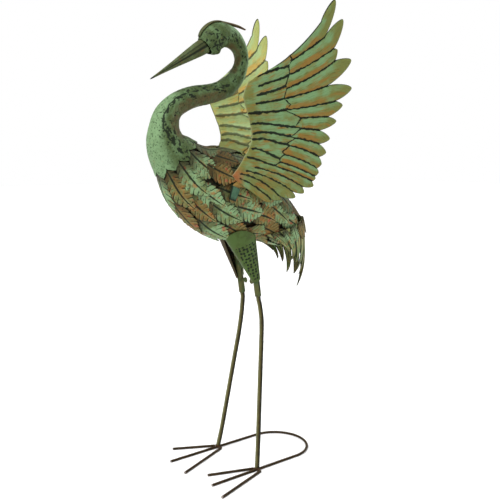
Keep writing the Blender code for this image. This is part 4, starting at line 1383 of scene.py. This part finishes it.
def make_floor():
    """A sheet of white paper under and behind the crane."""
    mesh = bpy.data.meshes.new("floor")
    corners = [(FLOOR_HALF * x, FLOOR_HALF * y, 0) for x, y in ((-1, -1), (1, -1), (1, 1), (-1, 1))]
    mesh.from_pydata(corners, [], [(0, 1, 2, 3)])
    floor = add_object("floor", mesh)
    paint = bpy.data.materials.new("floor_paper")
    paint.use_nodes = True
    shader = paint.node_tree.nodes["Principled BSDF"]
    shader.inputs["Base Color"].default_value = (0.92, 0.92, 0.92, 1)
    shader.inputs["Roughness"].default_value = 0.9
    mesh.materials.append(paint)


def make_area(name, place, size, power):
    light = bpy.data.lights.new(name, "AREA")
    light.shape = "DISK"
    light.size = size
    light.energy = power
    lamp = add_object(name, light)
    lamp.location = place
    lamp.rotation_euler = (LIGHT_TARGET - Vector(place)).to_track_quat("-Z", "Y").to_euler()


def make_sun(way, strength):
    """A wide soft light from over the camera's left shoulder."""
    light = bpy.data.lights.new("key_light", "SUN")
    light.energy = strength
    light.angle = math.radians(30)
    lamp = add_object("key_light", light)
    lamp.location = way
    lamp.rotation_euler = Vector(way).to_track_quat("Z", "Y").to_euler()


def make_world():
    """White walls, and a darker ceiling."""
    world = bpy.data.worlds.new("studio")
    bpy.context.scene.world = world
    world.use_nodes = True
    nodes = world.node_tree.nodes
    links = world.node_tree.links
    place = nodes.new("ShaderNodeTexCoord").outputs["Generated"]
    parts = nodes.new("ShaderNodeSeparateXYZ")
    ramp = nodes.new("ShaderNodeMapRange")
    ramp.inputs["From Min"].default_value = 0.32
    ramp.inputs["From Max"].default_value = 0.75
    ramp.inputs["To Min"].default_value = 1.0
    ramp.inputs["To Max"].default_value = 0.55
    links.new(place, parts.inputs[0])
    links.new(parts.outputs["Z"], ramp.inputs["Value"])
    links.new(ramp.outputs[0], nodes["Background"].inputs["Strength"])
    nodes["Background"].inputs["Color"].default_value = (1, 1, 1, 1)


def make_camera():
    data = bpy.data.cameras.new("camera")
    data.sensor_width = SENSOR
    data.lens = FOCAL_PIXELS / PHOTO_PIXELS * SENSOR
    camera = add_object("camera", data)
    camera.location = (
        math.sin(CAMERA_AZIMUTH) * CAMERA_REACH,
        -math.cos(CAMERA_AZIMUTH) * CAMERA_REACH + SHIFT,
        math.tan(CAMERA_ELEVATION) * CAMERA_REACH,
    )
    camera.rotation_euler = (math.pi / 2 - CAMERA_PITCH, 0, CAMERA_AZIMUTH + CAMERA_YAW)
    bpy.context.scene.camera = camera


make_floor()
make_sun((0.15, -1.4, 1.9), 3.0)
make_area("rim_light", (0.2, 1.6, 1.8), 1.2, 12)
make_camera()
make_world()
bpy.context.scene.view_settings.view_transform = "Standard"
